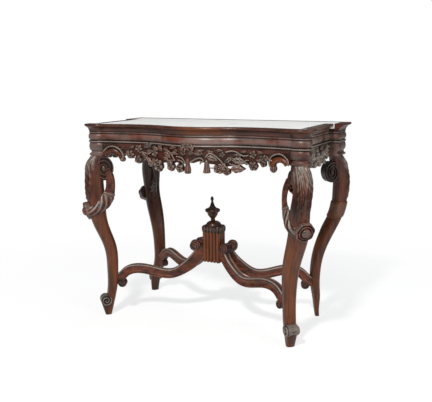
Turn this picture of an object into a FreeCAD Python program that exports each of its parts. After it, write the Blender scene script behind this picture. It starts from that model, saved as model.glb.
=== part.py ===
"""Carved pier table with a loose marble slab, built piece by piece in millimetres.

The origin is on the floor under the middle of the table. X runs along the front, -Y is the front, Z is up.
"""

import FreeCAD
import Part
import math
import os

V = FreeCAD.Vector
UP = V(0, 0, 1)

# Heights of the whole table
TABLE_HEIGHT = 806.0
RIM_HEIGHT = 30.0
FRIEZE_HEIGHT = 46.0
BLOCK_DROP = 51.0
RAIL_DROP = 40.0

# Corner blocks, seen from above: the front ones are as deep as the rail and have a lobed face
FRONT_LINE = 190.0
FRONT_BLOCK_X = 434.0
FRONT_BLOCK_WIDTH = 64.0
FRONT_BLOCK_DEPTH = 27.0
LOBE_BULGE = 14.0
BACK_LINE = 228.0
BACK_BLOCK_X = 446.0
BACK_BLOCK_WIDTH = 68.0
BACK_BLOCK_DEPTH = 105.0

# Serpentine front, seen from above
CENTRE_BULGE = 35.0
HOLLOW_DEPTH = 18.0
HOLLOW_X = 230.0

# Rails
RAIL_THICKNESS = 26.0
END_X = 443.0
BACK_RECESS = 13.0
SKIRT_REBATE = 14.0
SKIRT_RELIEF = 5.0
SEAT_GAP = 1.0

# Moulded rim and the slab that lies in it
RIM_OVERHANG = 20.0
RIM_WIDTH = 34.0
RIM_NOSE = 10.0
RIM_HOLLOW = 2.0
LEDGE_WIDTH = 14.0
SLAB_THICKNESS = 20.0
SLAB_CLEARANCE = 1.0

# Frieze mouldings: how far each stands out
FILLET_HEIGHT = 8.0
FILLET_STAND = 2.5
PILLOW_STAND = 5.5
ASTRAGAL_HEIGHT = 10.0
ASTRAGAL_STAND = 5.0
BASE_FLARE = 4.0
BASE_HOLLOW = 4.0

# Cross bearers under the slab
BEARER_WIDTH = 44.0
BEARER_HEIGHT = 34.0

# Legs: the axis that a leg swings about stands on the floor here
LEG_X = 409.0
LEG_Y = 177.0
KNEE_REACH = 62.0
ANKLE_SET = 21.0
LEG_DEPTH = 70.0
LEG_WIDTH = 66.0
LEG_LEAN = 4.0
VOLUTE_RADIUS = 37.0
VOLUTE_RISE = 48.0
VOLUTE_WIDTH = 56.0
VOLUTE_OUT = 16.0
VOLUTE_DROP = 59.0
FOOT_SCROLL_RADIUS = 22.0
FOOT_SCROLL_WIDTH = 44.0
FOOT_SCROLL_HEIGHT = 66.0
FOOT_SCROLL_OUT = 23.0
PEG_SIDE = 32.0

# Scroll branches, rosettes and the bare seat on the knee
BRANCH_RADIUS = 10.5
ROSETTE_RADIUS = 33.0
ROSETTE_THICKNESS = 13.0
ROSETTE_BOSS = 19.0
ROSETTE_SIDE = 4.0
ROSETTE_TILT = 17.0
SEAT_TOP = 486.0
SEAT_BOTTOM = 419.0
SEAT_PROUD = 3.0

# Carved skirts: how far the solid band reaches below the bead
FRONT_BAND = 40.0
END_BAND = 66.0

# Stretcher
ARM_HEIGHT = 34.0
ARM_WIDTH = 28.0
ARM_RISE = 24.0
ARM_LEVEL = 186.0
ARM_LEG_HEIGHT = 146.0
ARM_ROOT_HEIGHT = 258.0
ARM_VOLUTE_PROUD = 3.0
ROOT_VOLUTE_RADIUS = 24.0
ROOT_VOLUTE_OUT = 78.0
ROOT_VOLUTE_RISE = 43.0
TOE_VOLUTE_RADIUS = 17.0
TOE_VOLUTE_OUT = 384.0
TOE_VOLUTE_HEIGHT = 141.0
HUB_LENGTH = 74.0
HUB_DEPTH = 56.0
HUB_BELOW_ROOT = 26.0
HUB_HEIGHT = 128.0
REED_PITCH = 14.5
REED_STAND = 3.5
CAPITAL_HEIGHT = 26.0
CAPITAL_STAND = 3.0
DOME_RADIUS = 31.0
DOME_HEIGHT = 18.0
URN_RADIUS = 30.0
FINIAL_HEIGHT = 104.0
SPIGOT_RADIUS = 6.0
SPIGOT_LENGTH = 40.0

# Dowels
DOWEL_RADIUS = 4.5
DOWEL_LENGTH = 40.0
LEG_DOWEL_RADIUS = 9.0
LEG_DOWEL_LENGTH = 64.0
DOWEL_CLEARANCE = 0.1

# Levels that follow from the heights
RAIL_TOP = TABLE_HEIGHT - RIM_HEIGHT
BEAD_LEVEL = RAIL_TOP - FRIEZE_HEIGHT
LEG_TOP = BEAD_LEVEL - BLOCK_DROP
RAIL_BOTTOM = BEAD_LEVEL - RAIL_DROP
LEDGE_LEVEL = TABLE_HEIGHT - SLAB_THICKNESS
VOLUTE_LEVEL = LEG_TOP - VOLUTE_DROP
HUB_BOTTOM = ARM_ROOT_HEIGHT - HUB_BELOW_ROOT
HUB_TOP = HUB_BOTTOM + HUB_HEIGHT
CAPITAL_TOP = HUB_TOP + CAPITAL_HEIGHT

# Lines of the plan that follow from the blocks
CREASE_X = FRONT_BLOCK_X - FRONT_BLOCK_WIDTH / 2
CORNER_X = FRONT_BLOCK_X + FRONT_BLOCK_WIDTH / 2
BACK_CREASE_X = BACK_BLOCK_X - BACK_BLOCK_WIDTH / 2
BACK_CORNER_X = BACK_BLOCK_X + BACK_BLOCK_WIDTH / 2
END_FRONT = -(FRONT_LINE - FRONT_BLOCK_DEPTH)
END_BACK = BACK_LINE - BACK_BLOCK_DEPTH
BACK_Y = BACK_LINE - BACK_RECESS
LOBE_RADIUS = ((FRONT_BLOCK_WIDTH / 2) ** 2 + LOBE_BULGE ** 2) / (2 * LOBE_BULGE)
LOBE_Y = -(FRONT_LINE + LOBE_BULGE - LOBE_RADIUS)
RIM_INNER = RIM_OVERHANG - RIM_WIDTH
LEDGE_INNER = RIM_INNER - LEDGE_WIDTH

# Serpentine front as tangent arcs: one bulge and, on each side, two hollows that meet at the deepest point
SWING = CENTRE_BULGE + HOLLOW_DEPTH
SWING_RADIUS = (HOLLOW_X ** 2 + SWING ** 2) / (4 * SWING)
OUTER_RUN = CREASE_X - HOLLOW_X
OUTER_RADIUS = (OUTER_RUN ** 2 + HOLLOW_DEPTH ** 2) / (2 * HOLLOW_DEPTH)
BULGE_Y = -(FRONT_LINE + CENTRE_BULGE)
HOLLOW_Y = -(FRONT_LINE - HOLLOW_DEPTH)

CORNERS = {
    "front_left": (-1, -1),
    "front_right": (1, -1),
    "back_left": (-1, 1),
    "back_right": (1, 1),
}

# Leg stations from the top down: share of the leg's height, swing, depth, width, and lean towards the end
LEG_STATIONS = (
    (1.00, 0.46, 0.76, 1.03, 1.00),
    (0.94, 0.70, 0.89, 1.00, 1.00),
    (0.88, 0.92, 0.97, 0.97, 1.00),
    (0.82, 1.00, 1.00, 0.97, 1.00),
    (0.76, 0.94, 1.00, 1.00, 0.90),
    (0.68, 0.76, 0.96, 1.03, 0.60),
    (0.60, 0.51, 0.90, 1.00, 0.20),
    (0.52, 0.18, 0.81, 0.93, -0.20),
    (0.44, -0.38, 0.71, 0.86, -0.60),
    (0.36, -0.86, 0.64, 0.80, -0.90),
    (0.28, -1.00, 0.60, 0.76, -1.00),
    (0.19, -0.90, 0.54, 0.73, -0.80),
    (0.13, -0.62, 0.50, 0.69, -0.50),
)
LEG_CHAMFER = 0.33
PEG_TAPER = 0.82

# Rosette's place on the knee, as a share of the leg's height like the stations
ROSETTE_STATION = 0.6657
ROSETTE_HEIGHT = LEG_TOP * ROSETTE_STATION

# Centre line of a scroll branch: swing from the leg's axis, step to the side, share of the height from the
# rosette up to the volute, and thickness in branch radii
BRANCH_LINE = (
    (4.0, -14.0, 1.035, 0.80),
    (-18.0, -21.0, 0.876, 0.90),
    (-28.0, -25.0, 0.594, 0.92),
    (-23.0, -29.0, 0.365, 1.00),
    (4.0, -38.0, 0.197, 1.35),
    (38.0, -43.0, 0.088, 1.75),
    (70.0, -36.0, 0.024, 2.00),
    (92.0, -14.0, 0.009, 1.80),
)

# Hanging drops of a skirt: place along it from its middle, half width and how far they hang below the bead
FRONT_DROPS = (
    (-314.0, 15.0, 66.0),
    (-243.0, 17.0, 80.0),
    (-188.0, 17.0, 86.0),
    (-128.0, 26.0, 101.0),
    (-67.0, 18.0, 92.0),
    (-25.0, 17.0, 92.0),
    (9.0, 13.0, 102.0),
    (83.0, 12.0, 96.0),
    (122.0, 18.0, 93.0),
    (149.0, 15.0, 103.0),
    (191.0, 25.0, 89.0),
    (253.0, 21.0, 85.0),
    (331.0, 17.0, 85.0),
)
END_DROPS = (
    (-86.0, 30.0, 76.0),
    (0.0, 32.0, 80.0),
    (86.0, 30.0, 76.0),
)

# Centre line of a stretcher arm from hub to leg: share of its run and step above its root height at the hub,
# then share of its run and rise above its level in arm rises
ARM_ROOT_LINE = (
    (0.132, 46.0),
    (0.155, 12.0),
    (0.210, -19.0),
)
ARM_LINE = (
    (0.295, 0.88),
    (0.400, -0.12),
    (0.530, -0.04),
    (0.650, 0.48),
    (0.765, 0.66),
    (0.860, 0.08),
    (0.918, -0.90),
)


def outline_face(start, steps, place):
    """Face inside an outline of straight steps (two numbers) and arcs (a middle point and an end point)."""
    here = place(*start)
    edges = []
    for step in steps + (start,):
        there = place(*step[-2:])
        if len(step) == 4:
            edges.append(Part.Arc(here, place(*step[:2]), there).toShape())
        else:
            edges.append(Part.makeLine(here, there))
        here = there
    return Part.Face(Part.Wire(edges))


def one_solid(shape):
    """The single solid that a boolean result holds."""
    merged = shape.removeSplitter()
    return merged.Solids[0] if len(merged.Solids) == 1 else merged


def box_between(low, high):
    """Box from its low corner to its high corner."""
    return Part.makeBox(high[0] - low[0], high[1] - low[1], high[2] - low[2], V(*low))


def rod(radius, start, end):
    """Round rod from one point to another."""
    along = end - start
    return Part.makeCylinder(radius, along.Length, start, along)


def moulding_above_bead(bead):
    """Frieze outline from the bead's underside up to the rail's top: bead, pillow and fillet."""
    pillow_low = bead + ASTRAGAL_HEIGHT + SEAT_GAP
    pillow_high = RAIL_TOP - FILLET_HEIGHT
    return (
        (0.0, bead),
        (ASTRAGAL_STAND, bead + ASTRAGAL_HEIGHT / 2, 0.0, bead + ASTRAGAL_HEIGHT),
        (0.0, pillow_low),
        (PILLOW_STAND, (pillow_low + pillow_high) / 2, 0.0, pillow_high),
        (FILLET_STAND, RAIL_TOP - FILLET_HEIGHT / 2, 0.0, RAIL_TOP),
    )


def rail_profile():
    """Start and steps of a rail's section: outwards is positive, and the skirt sits in the rebate below."""
    start = (-RAIL_THICKNESS, RAIL_BOTTOM)
    steps = (
        (-SKIRT_REBATE, RAIL_BOTTOM),
        (-SKIRT_REBATE, BEAD_LEVEL),
    ) + moulding_above_bead(BEAD_LEVEL) + ((-RAIL_THICKNESS, RAIL_TOP),)
    return start, steps


def block_profile(inner):
    """Start and steps of a corner block's section, with its flared base, out from the line inner."""
    waist = BEAD_LEVEL - BLOCK_DROP * 0.6
    toe = LEG_TOP + BLOCK_DROP * 0.15
    start = (inner, LEG_TOP)
    steps = (
        (BASE_FLARE, LEG_TOP),
        (BASE_FLARE, toe),
        (-BASE_HOLLOW, (toe + waist) / 2, 0.0, waist),
        (BASE_FLARE, (waist + BEAD_LEVEL) / 2, 0.0, BEAD_LEVEL),
    ) + moulding_above_bead(BEAD_LEVEL)[1:] + ((inner, RAIL_TOP),)
    return start, steps


def rim_outer_steps():
    """Outer side of the rim from its seat to its top: small step, hollow and rounded nose."""
    nose_low = TABLE_HEIGHT - RIM_NOSE
    return (
        (FILLET_STAND, RAIL_TOP),
        (RIM_OVERHANG * 0.32, (RAIL_TOP + nose_low) / 2 + RIM_HOLLOW, RIM_OVERHANG * 0.82, nose_low),
        (RIM_OVERHANG, nose_low + RIM_NOSE * 0.45, RIM_OVERHANG * 0.86, TABLE_HEIGHT),
    )


def rim_profile():
    """Start and steps of the rim's section, with the ledge that carries the slab."""
    start = (LEDGE_INNER, RAIL_TOP)
    steps = rim_outer_steps() + (
        (RIM_INNER, TABLE_HEIGHT),
        (RIM_INNER, LEDGE_LEVEL),
        (LEDGE_INNER, LEDGE_LEVEL),
    )
    return start, steps


def rim_corner_profile(inner):
    """Start and steps of the rim at a corner, solid from the line inner out to the nose."""
    return (inner, RAIL_TOP), rim_outer_steps() + ((inner, TABLE_HEIGHT),)


def front_arcs(past_crease):
    """Arcs of the front, left to right: centre, radius, side of the centre, start angle and end angle."""
    turn = math.asin(HOLLOW_X / 2 / SWING_RADIUS)
    outer_turn = math.asin((OUTER_RUN + past_crease) / OUTER_RADIUS)
    swing_y = HOLLOW_Y - SWING_RADIUS
    outer_y = HOLLOW_Y - OUTER_RADIUS
    return (
        ((-HOLLOW_X, outer_y), OUTER_RADIUS, -1, -outer_turn, 0.0),
        ((-HOLLOW_X, swing_y), SWING_RADIUS, -1, 0.0, turn),
        ((0.0, BULGE_Y + SWING_RADIUS), SWING_RADIUS, 1, -turn, turn),
        ((HOLLOW_X, swing_y), SWING_RADIUS, -1, -turn, 0.0),
        ((HOLLOW_X, outer_y), OUTER_RADIUS, -1, 0.0, outer_turn),
    )


def arc_point(arc, angle, out, z):
    """Point on an arc of the front at an angle, moved outwards and set at a height."""
    (cx, cy), radius, side, _, _ = arc
    reach = radius + side * out
    return V(cx + reach * math.sin(angle), cy - side * reach * math.cos(angle), z)


def along_front(profile):
    """Section carried along the serpentine front, cut off square at both creases."""
    past_crease = FRONT_BLOCK_WIDTH / 4
    runs = []
    for arc in front_arcs(past_crease):
        start_angle, end_angle = arc[3:]
        face = outline_face(*profile, lambda out, z: arc_point(arc, start_angle, out, z))
        sweep = math.degrees(end_angle - start_angle) * arc[2]
        runs.append(face.revolve(V(arc[0][0], arc[0][1], 0), UP, sweep))
    reach = FRONT_LINE * 2
    window = box_between((-CREASE_X, -reach, 0), (CREASE_X, 0, TABLE_HEIGHT * 2))
    return one_solid(runs[0].multiFuse(runs[1:]).common(window))


def along_x(profile, y, side, low, high):
    """Section carried along X at the line y, facing the given side."""
    face = outline_face(*profile, lambda out, z: V(low, side * (y + out), z))
    return face.extrude(V(high - low, 0, 0))


def along_y(profile, x, side, low, high):
    """Section carried along Y at the line x, facing the given side."""
    face = outline_face(*profile, lambda out, z: V(side * (x + out), low, z))
    return face.extrude(V(0, high - low, 0))


def at_corner(shape, side_x, side_y):
    """Shape made for the front right corner, mirrored to another corner."""
    placed = shape.copy()
    if side_x < 0:
        placed = placed.mirror(V(0, 0, 0), V(1, 0, 0))
    if side_y > 0:
        placed = placed.mirror(V(0, 0, 0), V(0, 1, 0))
    return placed


def lobe(profile):
    """Round front of a corner: a section turned about the middle of the block's front arc."""
    face = outline_face(*profile, lambda out, z: V(FRONT_BLOCK_X, LOBE_Y + LOBE_RADIUS + out, z))
    return face.revolve(V(FRONT_BLOCK_X, LOBE_Y, 0), UP, 360)


def make_corner_block(side_x, side_y):
    """Corner block: a lobed face at the front and a flat face at the back, moulded on its end."""
    if side_y > 0:
        profile = block_profile(-BACK_BLOCK_WIDTH)
        block = along_y(profile, BACK_CORNER_X, 1, -BACK_LINE, -END_BACK)
    else:
        profile = block_profile(-FRONT_BLOCK_WIDTH)
        body = along_y(profile, CORNER_X, 1, -FRONT_LINE * 2, END_FRONT)
        block = lobe(block_profile(-LOBE_RADIUS)).common(body)
    return at_corner(one_solid(block), side_x, side_y)


def make_rim_corner(side_x, side_y):
    """Moulded ear of the rim with a pocket for the slab's corner."""
    if side_y > 0:
        reach_x = BACK_CORNER_X
        near = along_y(rim_corner_profile(-BACK_BLOCK_WIDTH), reach_x, 1, -BACK_LINE * 2, -END_BACK)
        far = along_x(rim_corner_profile(-BACK_BLOCK_DEPTH), BACK_LINE, -1, BACK_CREASE_X, reach_x * 2)
        line = BACK_LINE
    else:
        reach_x = CORNER_X
        near = along_y(rim_corner_profile(-FRONT_BLOCK_WIDTH), reach_x, 1, -FRONT_LINE * 2, END_FRONT)
        far = lobe(rim_corner_profile(-LOBE_RADIUS))
        line = FRONT_LINE
    pocket = box_between((0, -(line + RIM_INNER), LEDGE_LEVEL), (reach_x + RIM_INNER, 0, TABLE_HEIGHT))
    return at_corner(one_solid(far.common(near).cut(pocket)), side_x, side_y)


def make_slab():
    """Marble slab with the plan of the rim's opening, one clearance smaller all round."""
    inset = RIM_INNER - SLAB_CLEARANCE
    end_x = CREASE_X - SLAB_CLEARANCE
    back_y = BACK_LINE + inset
    edges = []
    for arc in front_arcs(-SLAB_CLEARANCE):
        angles = (arc[3], (arc[3] + arc[4]) / 2, arc[4])
        points = [arc_point(arc, angle, inset, LEDGE_LEVEL) for angle in angles]
        edges.append(Part.Arc(*points).toShape())
    first = edges[0].Vertexes[0].Point
    last = edges[-1].Vertexes[1].Point
    corners = (last, V(last.x, back_y, LEDGE_LEVEL), V(first.x, back_y, LEDGE_LEVEL), first)
    for start, end in zip(corners, corners[1:]):
        edges.append(Part.makeLine(start, end))
    field = Part.Face(Part.Wire(edges)).extrude(V(0, 0, SLAB_THICKNESS))
    front_step = END_FRONT - SLAB_CLEARANCE
    back_step = END_BACK + SLAB_CLEARANCE
    runs = (
        (CORNER_X + inset, -(FRONT_LINE + inset), front_step),
        (END_X + inset, front_step, back_step),
        (BACK_CORNER_X + inset, back_step, back_y),
    )
    pieces = []
    for side in (-1, 1):
        for far_x, low_y, high_y in runs:
            ear = box_between((end_x, low_y, LEDGE_LEVEL), (far_x, high_y, TABLE_HEIGHT))
            pieces.append(ear if side > 0 else ear.mirror(V(0, 0, 0), V(1, 0, 0)))
    return one_solid(field.multiFuse(pieces))


def leg_section(z, swing, depth, lean, width):
    """Chamfered section of a leg, level with the floor: swing is outwards and lean is to the side."""
    cut = LEG_CHAMFER * min(depth, width)
    near = swing - depth / 2
    far = swing + depth / 2
    low = lean - width / 2
    high = lean + width / 2
    corners = (
        (near + cut, low), (far - cut, low), (far, low + cut), (far, high - cut),
        (far - cut, high), (near + cut, high), (near, high - cut), (near, low + cut),
    )
    return Part.makePolygon([V(q, t, z) for q, t in corners + corners[:1]])


def leg_loft(proud):
    """Cabriole shaft of a leg about its own axis, grown by proud on every side."""
    sections = []
    for share, swing, depth, width, lean in LEG_STATIONS:
        reach = swing * (KNEE_REACH if swing > 0 else ANKLE_SET)
        grown = (LEG_DEPTH * depth + 2 * proud, LEG_LEAN * lean, LEG_WIDTH * width + 2 * proud)
        sections.append(leg_section(LEG_TOP * share, reach, *grown))
    sections.append(leg_section(0.0, 0.0, PEG_SIDE * PEG_TAPER + 2 * proud, 0.0, PEG_SIDE + 2 * proud))
    return Part.makeLoft(sections, True, False)


def scroll(radius, width, swing, lean, z):
    """Disc of a volute on a leg, with its axis across the leg's swing."""
    return Part.makeCylinder(radius, width, V(swing, lean - width / 2, z), V(0, 1, 0))


def leg_place(shape):
    """Shape made about a leg's own axis, turned to the front right corner's diagonal."""
    placed = shape.copy()
    placed.rotate(V(0, 0, 0), UP, -45)
    placed.translate(V(LEG_X, -LEG_Y, 0))
    return placed


def leg_dowel(clearance):
    """Dowel in the middle of the front right corner block and in its leg, grown by a clearance."""
    half = LEG_DOWEL_LENGTH / 2 + clearance
    middle = V(FRONT_BLOCK_X, END_FRONT - (FRONT_BLOCK_DEPTH + LOBE_BULGE) / 2, LEG_TOP)
    return rod(LEG_DOWEL_RADIUS + clearance, middle - UP * half, middle + UP * half)


def make_leg(with_foot):
    """Leg for the front right corner: shaft, inward volute at the top and, if asked for, a foot scroll."""
    tall = FreeCAD.Matrix()
    tall.scale(1, 1, VOLUTE_RISE / VOLUTE_RADIUS)
    top = scroll(VOLUTE_RADIUS, VOLUTE_WIDTH, VOLUTE_OUT, LEG_LEAN, 0.0).transformGeometry(tall)
    top.translate(UP * VOLUTE_LEVEL)
    foot = scroll(FOOT_SCROLL_RADIUS, FOOT_SCROLL_WIDTH, FOOT_SCROLL_OUT - ANKLE_SET / 2, 0.0,
                  FOOT_SCROLL_HEIGHT)
    scrolls = [top, foot] if with_foot else [top]
    return leg_place(one_solid(leg_loft(0.0).multiFuse(scrolls)))


def make_branch(leg, rosette):
    """Scroll branch from the volute's eye round the inner side of the leg to the rosette on the knee."""
    rise = VOLUTE_LEVEL - ROSETTE_HEIGHT
    centres = [V(q, t, ROSETTE_HEIGHT + rise * share) for q, t, share, size in BRANCH_LINE]
    line = Part.BSplineCurve()
    line.interpolate(centres)
    sections = []
    for centre, station in zip(centres, BRANCH_LINE):
        along = V(*line.tangent(line.parameter(centre))[0])
        sections.append(Part.Wire(Part.makeCircle(BRANCH_RADIUS * station[3], centre, along)))
    tube = leg_place(Part.makeLoft(sections, True, False))
    pieces = tube.cut(leg).cut(rosette).Solids
    return max(pieces, key=lambda piece: piece.Volume)


def make_rosette(leg):
    """Round flower boss that sits on the outward face of the knee."""
    seat = LEG_DEPTH / 2
    steps = (
        (ROSETTE_RADIUS * 0.9, -seat),
        (ROSETTE_RADIUS, 0.0),
        (ROSETTE_RADIUS * 0.96, ROSETTE_THICKNESS * 0.5, ROSETTE_RADIUS * 0.7, ROSETTE_THICKNESS * 0.55),
        (ROSETTE_BOSS, ROSETTE_THICKNESS * 0.4),
        dome_top(ROSETTE_BOSS, ROSETTE_THICKNESS * 0.4, ROSETTE_THICKNESS * 1.35),
    )
    face = outline_face((0.0, -seat), steps, lambda radius, height: V(radius, 0, height))
    flower = face.revolve(V(0, 0, 0), UP, 360)
    flower.rotate(V(0, 0, 0), V(0, 1, 0), 90 + ROSETTE_TILT)
    out = knee_face(ROSETTE_HEIGHT)
    flower.translate(V(out, ROSETTE_SIDE, ROSETTE_HEIGHT))
    pieces = leg_place(flower).cut(leg).Solids
    outside = leg_place(Part.Vertex(V(out + ROSETTE_THICKNESS, ROSETTE_SIDE, ROSETTE_HEIGHT))).Point
    return min(pieces, key=lambda piece: (piece.CenterOfMass - outside).Length)


def knee_face(z):
    """Swing of a leg's outer face at a height between two stations."""
    share = z / LEG_TOP
    for upper, lower in zip(LEG_STATIONS, LEG_STATIONS[1:]):
        if lower[0] <= share <= upper[0]:
            part = (share - lower[0]) / (upper[0] - lower[0])
            swing = (lower[1] + part * (upper[1] - lower[1])) * KNEE_REACH
            depth = (lower[2] + part * (upper[2] - lower[2])) * LEG_DEPTH
            return swing + depth / 2
    return 0.0


def make_knee_seat(leg):
    """Plain raised band round the knee of the back right leg, where a branch would sit."""
    reach = LEG_X * 2
    slice_box = box_between((-reach, -reach, SEAT_BOTTOM), (reach, reach, SEAT_TOP))
    band = leg_place(leg_loft(SEAT_PROUD).common(slice_box)).cut(leg)
    return max(band.Solids, key=lambda piece: piece.Volume)


def make_front_skirt():
    """Carved skirt of the front, as a band with hanging drops that follows the serpentine."""
    lowest = BEAD_LEVEL - max(drop[2] for drop in FRONT_DROPS)
    profile = ((-SKIRT_REBATE, lowest), (
        (SKIRT_RELIEF, lowest), (SKIRT_RELIEF, BEAD_LEVEL), (-SKIRT_REBATE, BEAD_LEVEL)))
    reach = FRONT_LINE * 2
    low = (-CREASE_X, -reach, BEAD_LEVEL - FRONT_BAND)
    shapes = [box_between(low, (CREASE_X, 0, BEAD_LEVEL))]
    for x, half, hang in FRONT_DROPS:
        shapes += drop_prism(half, hang, V(x, 0, BEAD_LEVEL), V(0, -reach, 0))
    return one_solid(along_front(profile).common(shapes[0].multiFuse(shapes[1:])))


def drop_prism(half, hang, top, through):
    """Round-ended drop of a skirt as two prisms, hung from a point and run through a direction."""
    across = V(through.y, -through.x, 0).normalize()
    stem = hang - half
    corner = top - across * half
    sheet = Part.makePolygon([corner, corner + across * 2 * half, corner + across * 2 * half - UP * stem,
                              corner - UP * stem, corner])
    tip = Part.makeCylinder(half, through.Length, top - UP * stem, through)
    return [Part.Face(sheet).extrude(through), tip]


def make_end_skirt(side):
    """Carved skirt of one end, with shallower drops."""
    near = END_X - SKIRT_REBATE
    thick = SKIRT_REBATE + SKIRT_RELIEF
    low = (near, END_FRONT, BEAD_LEVEL - END_BAND)
    shapes = [box_between(low, (near + thick, END_BACK, BEAD_LEVEL))]
    middle = (END_FRONT + END_BACK) / 2
    for step, half, hang in END_DROPS:
        shapes += drop_prism(half, hang, V(near, middle + step, BEAD_LEVEL), V(thick, 0, 0))
    return at_corner(one_solid(shapes[0].multiFuse(shapes[1:])), side, -1)


def fit_end_skirt(skirt, leg):
    """End skirt let round the top of the front leg beside it."""
    return max(skirt.cut(leg).Solids, key=lambda piece: piece.Volume)


def arm_angle():
    """Turn of a stretcher arm from the X axis to the ankle it runs to."""
    return math.atan2(LEG_Y - ANKLE_SET * math.sqrt(0.5), LEG_X - ANKLE_SET * math.sqrt(0.5))


def arm_run():
    """Distance from the hub's middle to the ankle's middle."""
    step = ANKLE_SET * math.sqrt(0.5)
    return math.hypot(LEG_X - step, LEG_Y - step)


def arm_line():
    """Centre line of an arm as a smooth curve: distance from the middle and height."""
    run = arm_run()
    points = [V(run * share, 0, ARM_ROOT_HEIGHT + step) for share, step in ARM_ROOT_LINE]
    points += [V(run * share, 0, ARM_LEVEL + ARM_RISE * rise) for share, rise in ARM_LINE]
    points.append(V(run, 0, ARM_LEG_HEIGHT))
    line = Part.BSplineCurve()
    line.interpolate(points)
    return line, points


def arm_place(shape):
    """Shape made along X, turned to the front right arm's direction."""
    placed = shape.copy()
    placed.rotate(V(0, 0, 0), UP, -math.degrees(arm_angle()))
    return placed


def arm_dowels(clearance):
    """Two dowels of the front right arm, one at the leg and one at the hub, grown by a clearance."""
    run = arm_run()
    half = DOWEL_LENGTH / 2 + clearance
    leg_end = run - LEG_DEPTH / 3
    hub_end = math.hypot(HUB_LENGTH / 2, HUB_DEPTH / 4)
    dowels = []
    for middle, z in ((leg_end, ARM_LEG_HEIGHT + ARM_HEIGHT / 4), (hub_end, ARM_ROOT_HEIGHT)):
        ends = V(middle - half, 0, z), V(middle + half, 0, z)
        dowels.append(arm_place(rod(DOWEL_RADIUS + clearance, *ends)))
    return dowels


def make_arm(leg, hub):
    """Stretcher arm of the front right: an S sawn from a board, with a volute at each end."""
    line, points = arm_line()
    sides = {1: [], -1: []}
    for point in points:
        tangent = V(*line.tangent(line.parameter(point))[0])
        normal = V(-tangent.z, 0, tangent.x)
        for side in sides:
            sides[side].append(point + normal * side * ARM_HEIGHT / 2)
    curves = {}
    for side, ring in sides.items():
        curves[side] = Part.BSplineCurve()
        curves[side].interpolate(ring)
    edges = [
        curves[1].toShape(),
        Part.makeLine(sides[1][-1], sides[-1][-1]),
        curves[-1].toShape(),
        Part.makeLine(sides[-1][0], sides[1][0]),
    ]
    board = Part.Face(Part.Wire(Part.__sortEdges__(edges))).extrude(V(0, ARM_WIDTH, 0))
    board.translate(V(0, -ARM_WIDTH / 2, 0))
    wide = ARM_WIDTH + 2 * ARM_VOLUTE_PROUD
    root_height = ARM_ROOT_HEIGHT + ROOT_VOLUTE_RISE
    root = Part.makeCylinder(ROOT_VOLUTE_RADIUS, wide, V(ROOT_VOLUTE_OUT, -wide / 2, root_height), V(0, 1, 0))
    toe = Part.makeCylinder(TOE_VOLUTE_RADIUS, wide, V(TOE_VOLUTE_OUT, -wide / 2, TOE_VOLUTE_HEIGHT),
                            V(0, 1, 0))
    arm = arm_place(one_solid(board.multiFuse([root, toe])))
    arm = arm.cut(hub).cut(leg)
    return max(arm.Solids, key=lambda piece: piece.Volume)


def hub_outline():
    """Outline of the hub from above: a ring of half-round reeds on all four faces."""
    edges = []
    corners = (
        V(-HUB_LENGTH / 2, -HUB_DEPTH / 2, HUB_BOTTOM), V(HUB_LENGTH / 2, -HUB_DEPTH / 2, HUB_BOTTOM),
        V(HUB_LENGTH / 2, HUB_DEPTH / 2, HUB_BOTTOM), V(-HUB_LENGTH / 2, HUB_DEPTH / 2, HUB_BOTTOM),
    )
    for start, end in zip(corners, corners[1:] + corners[:1]):
        along = end - start
        reeds = max(1, round(along.Length / REED_PITCH))
        outward = along.cross(UP).normalize() * REED_STAND
        for reed in range(reeds):
            low = start + along * (reed / reeds)
            high = start + along * ((reed + 1) / reeds)
            edges.append(Part.Arc(low, (low + high) / 2 + outward, high).toShape())
    return Part.Wire(edges)


def make_hub():
    """Reeded block in the middle of the stretcher, bored for the finial's spigot."""
    body = Part.Face(hub_outline()).extrude(UP * HUB_HEIGHT)
    return body.cut(spigot_bore())


def spigot_bore():
    """Space for the finial's spigot, one clearance larger than it."""
    depth = SPIGOT_LENGTH + DOWEL_CLEARANCE
    base = V(0, 0, CAPITAL_TOP + DOME_HEIGHT - depth)
    return Part.makeCylinder(SPIGOT_RADIUS + DOWEL_CLEARANCE, depth + DOME_HEIGHT, base)


def make_capital():
    """Moulded capital on the hub: a band that swells outwards to a rounded top."""
    stand = REED_STAND + CAPITAL_STAND
    sections = []
    for share, grow in ((0.0, 0.2), (0.45, 0.6), (0.8, 1.0), (1.0, 0.7)):
        half_x = HUB_LENGTH / 2 + stand * grow
        half_y = HUB_DEPTH / 2 + stand * grow
        z = HUB_TOP + CAPITAL_HEIGHT * share
        ring = ((-half_x, -half_y), (half_x, -half_y), (half_x, half_y), (-half_x, half_y))
        sections.append(Part.makePolygon([V(x, y, z) for x, y in ring + ring[:1]]))
    body = Part.makeLoft(sections, True, True)
    upright = [edge for edge in body.Edges if edge.BoundBox.ZLength > CAPITAL_HEIGHT * 0.1]
    return body.makeFillet(CAPITAL_STAND, upright).cut(spigot_bore())


def dome_top(radius, low, high):
    """Step of a round cap centred on the axis, from a radius at a low height up to the axis at a high one."""
    rise = high - low
    ball = (radius ** 2 + rise ** 2) / (2 * rise)
    half_turn = math.atan2(radius, ball - rise) / 2
    return ball * math.sin(half_turn), high - ball + ball * math.cos(half_turn), 0.0, high


def turned(start, steps):
    """Turned piece about the table's middle: radius and height of each step."""
    return outline_face(start, steps, lambda radius, z: V(radius, 0, z)).revolve(V(0, 0, 0), UP, 360)


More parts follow.
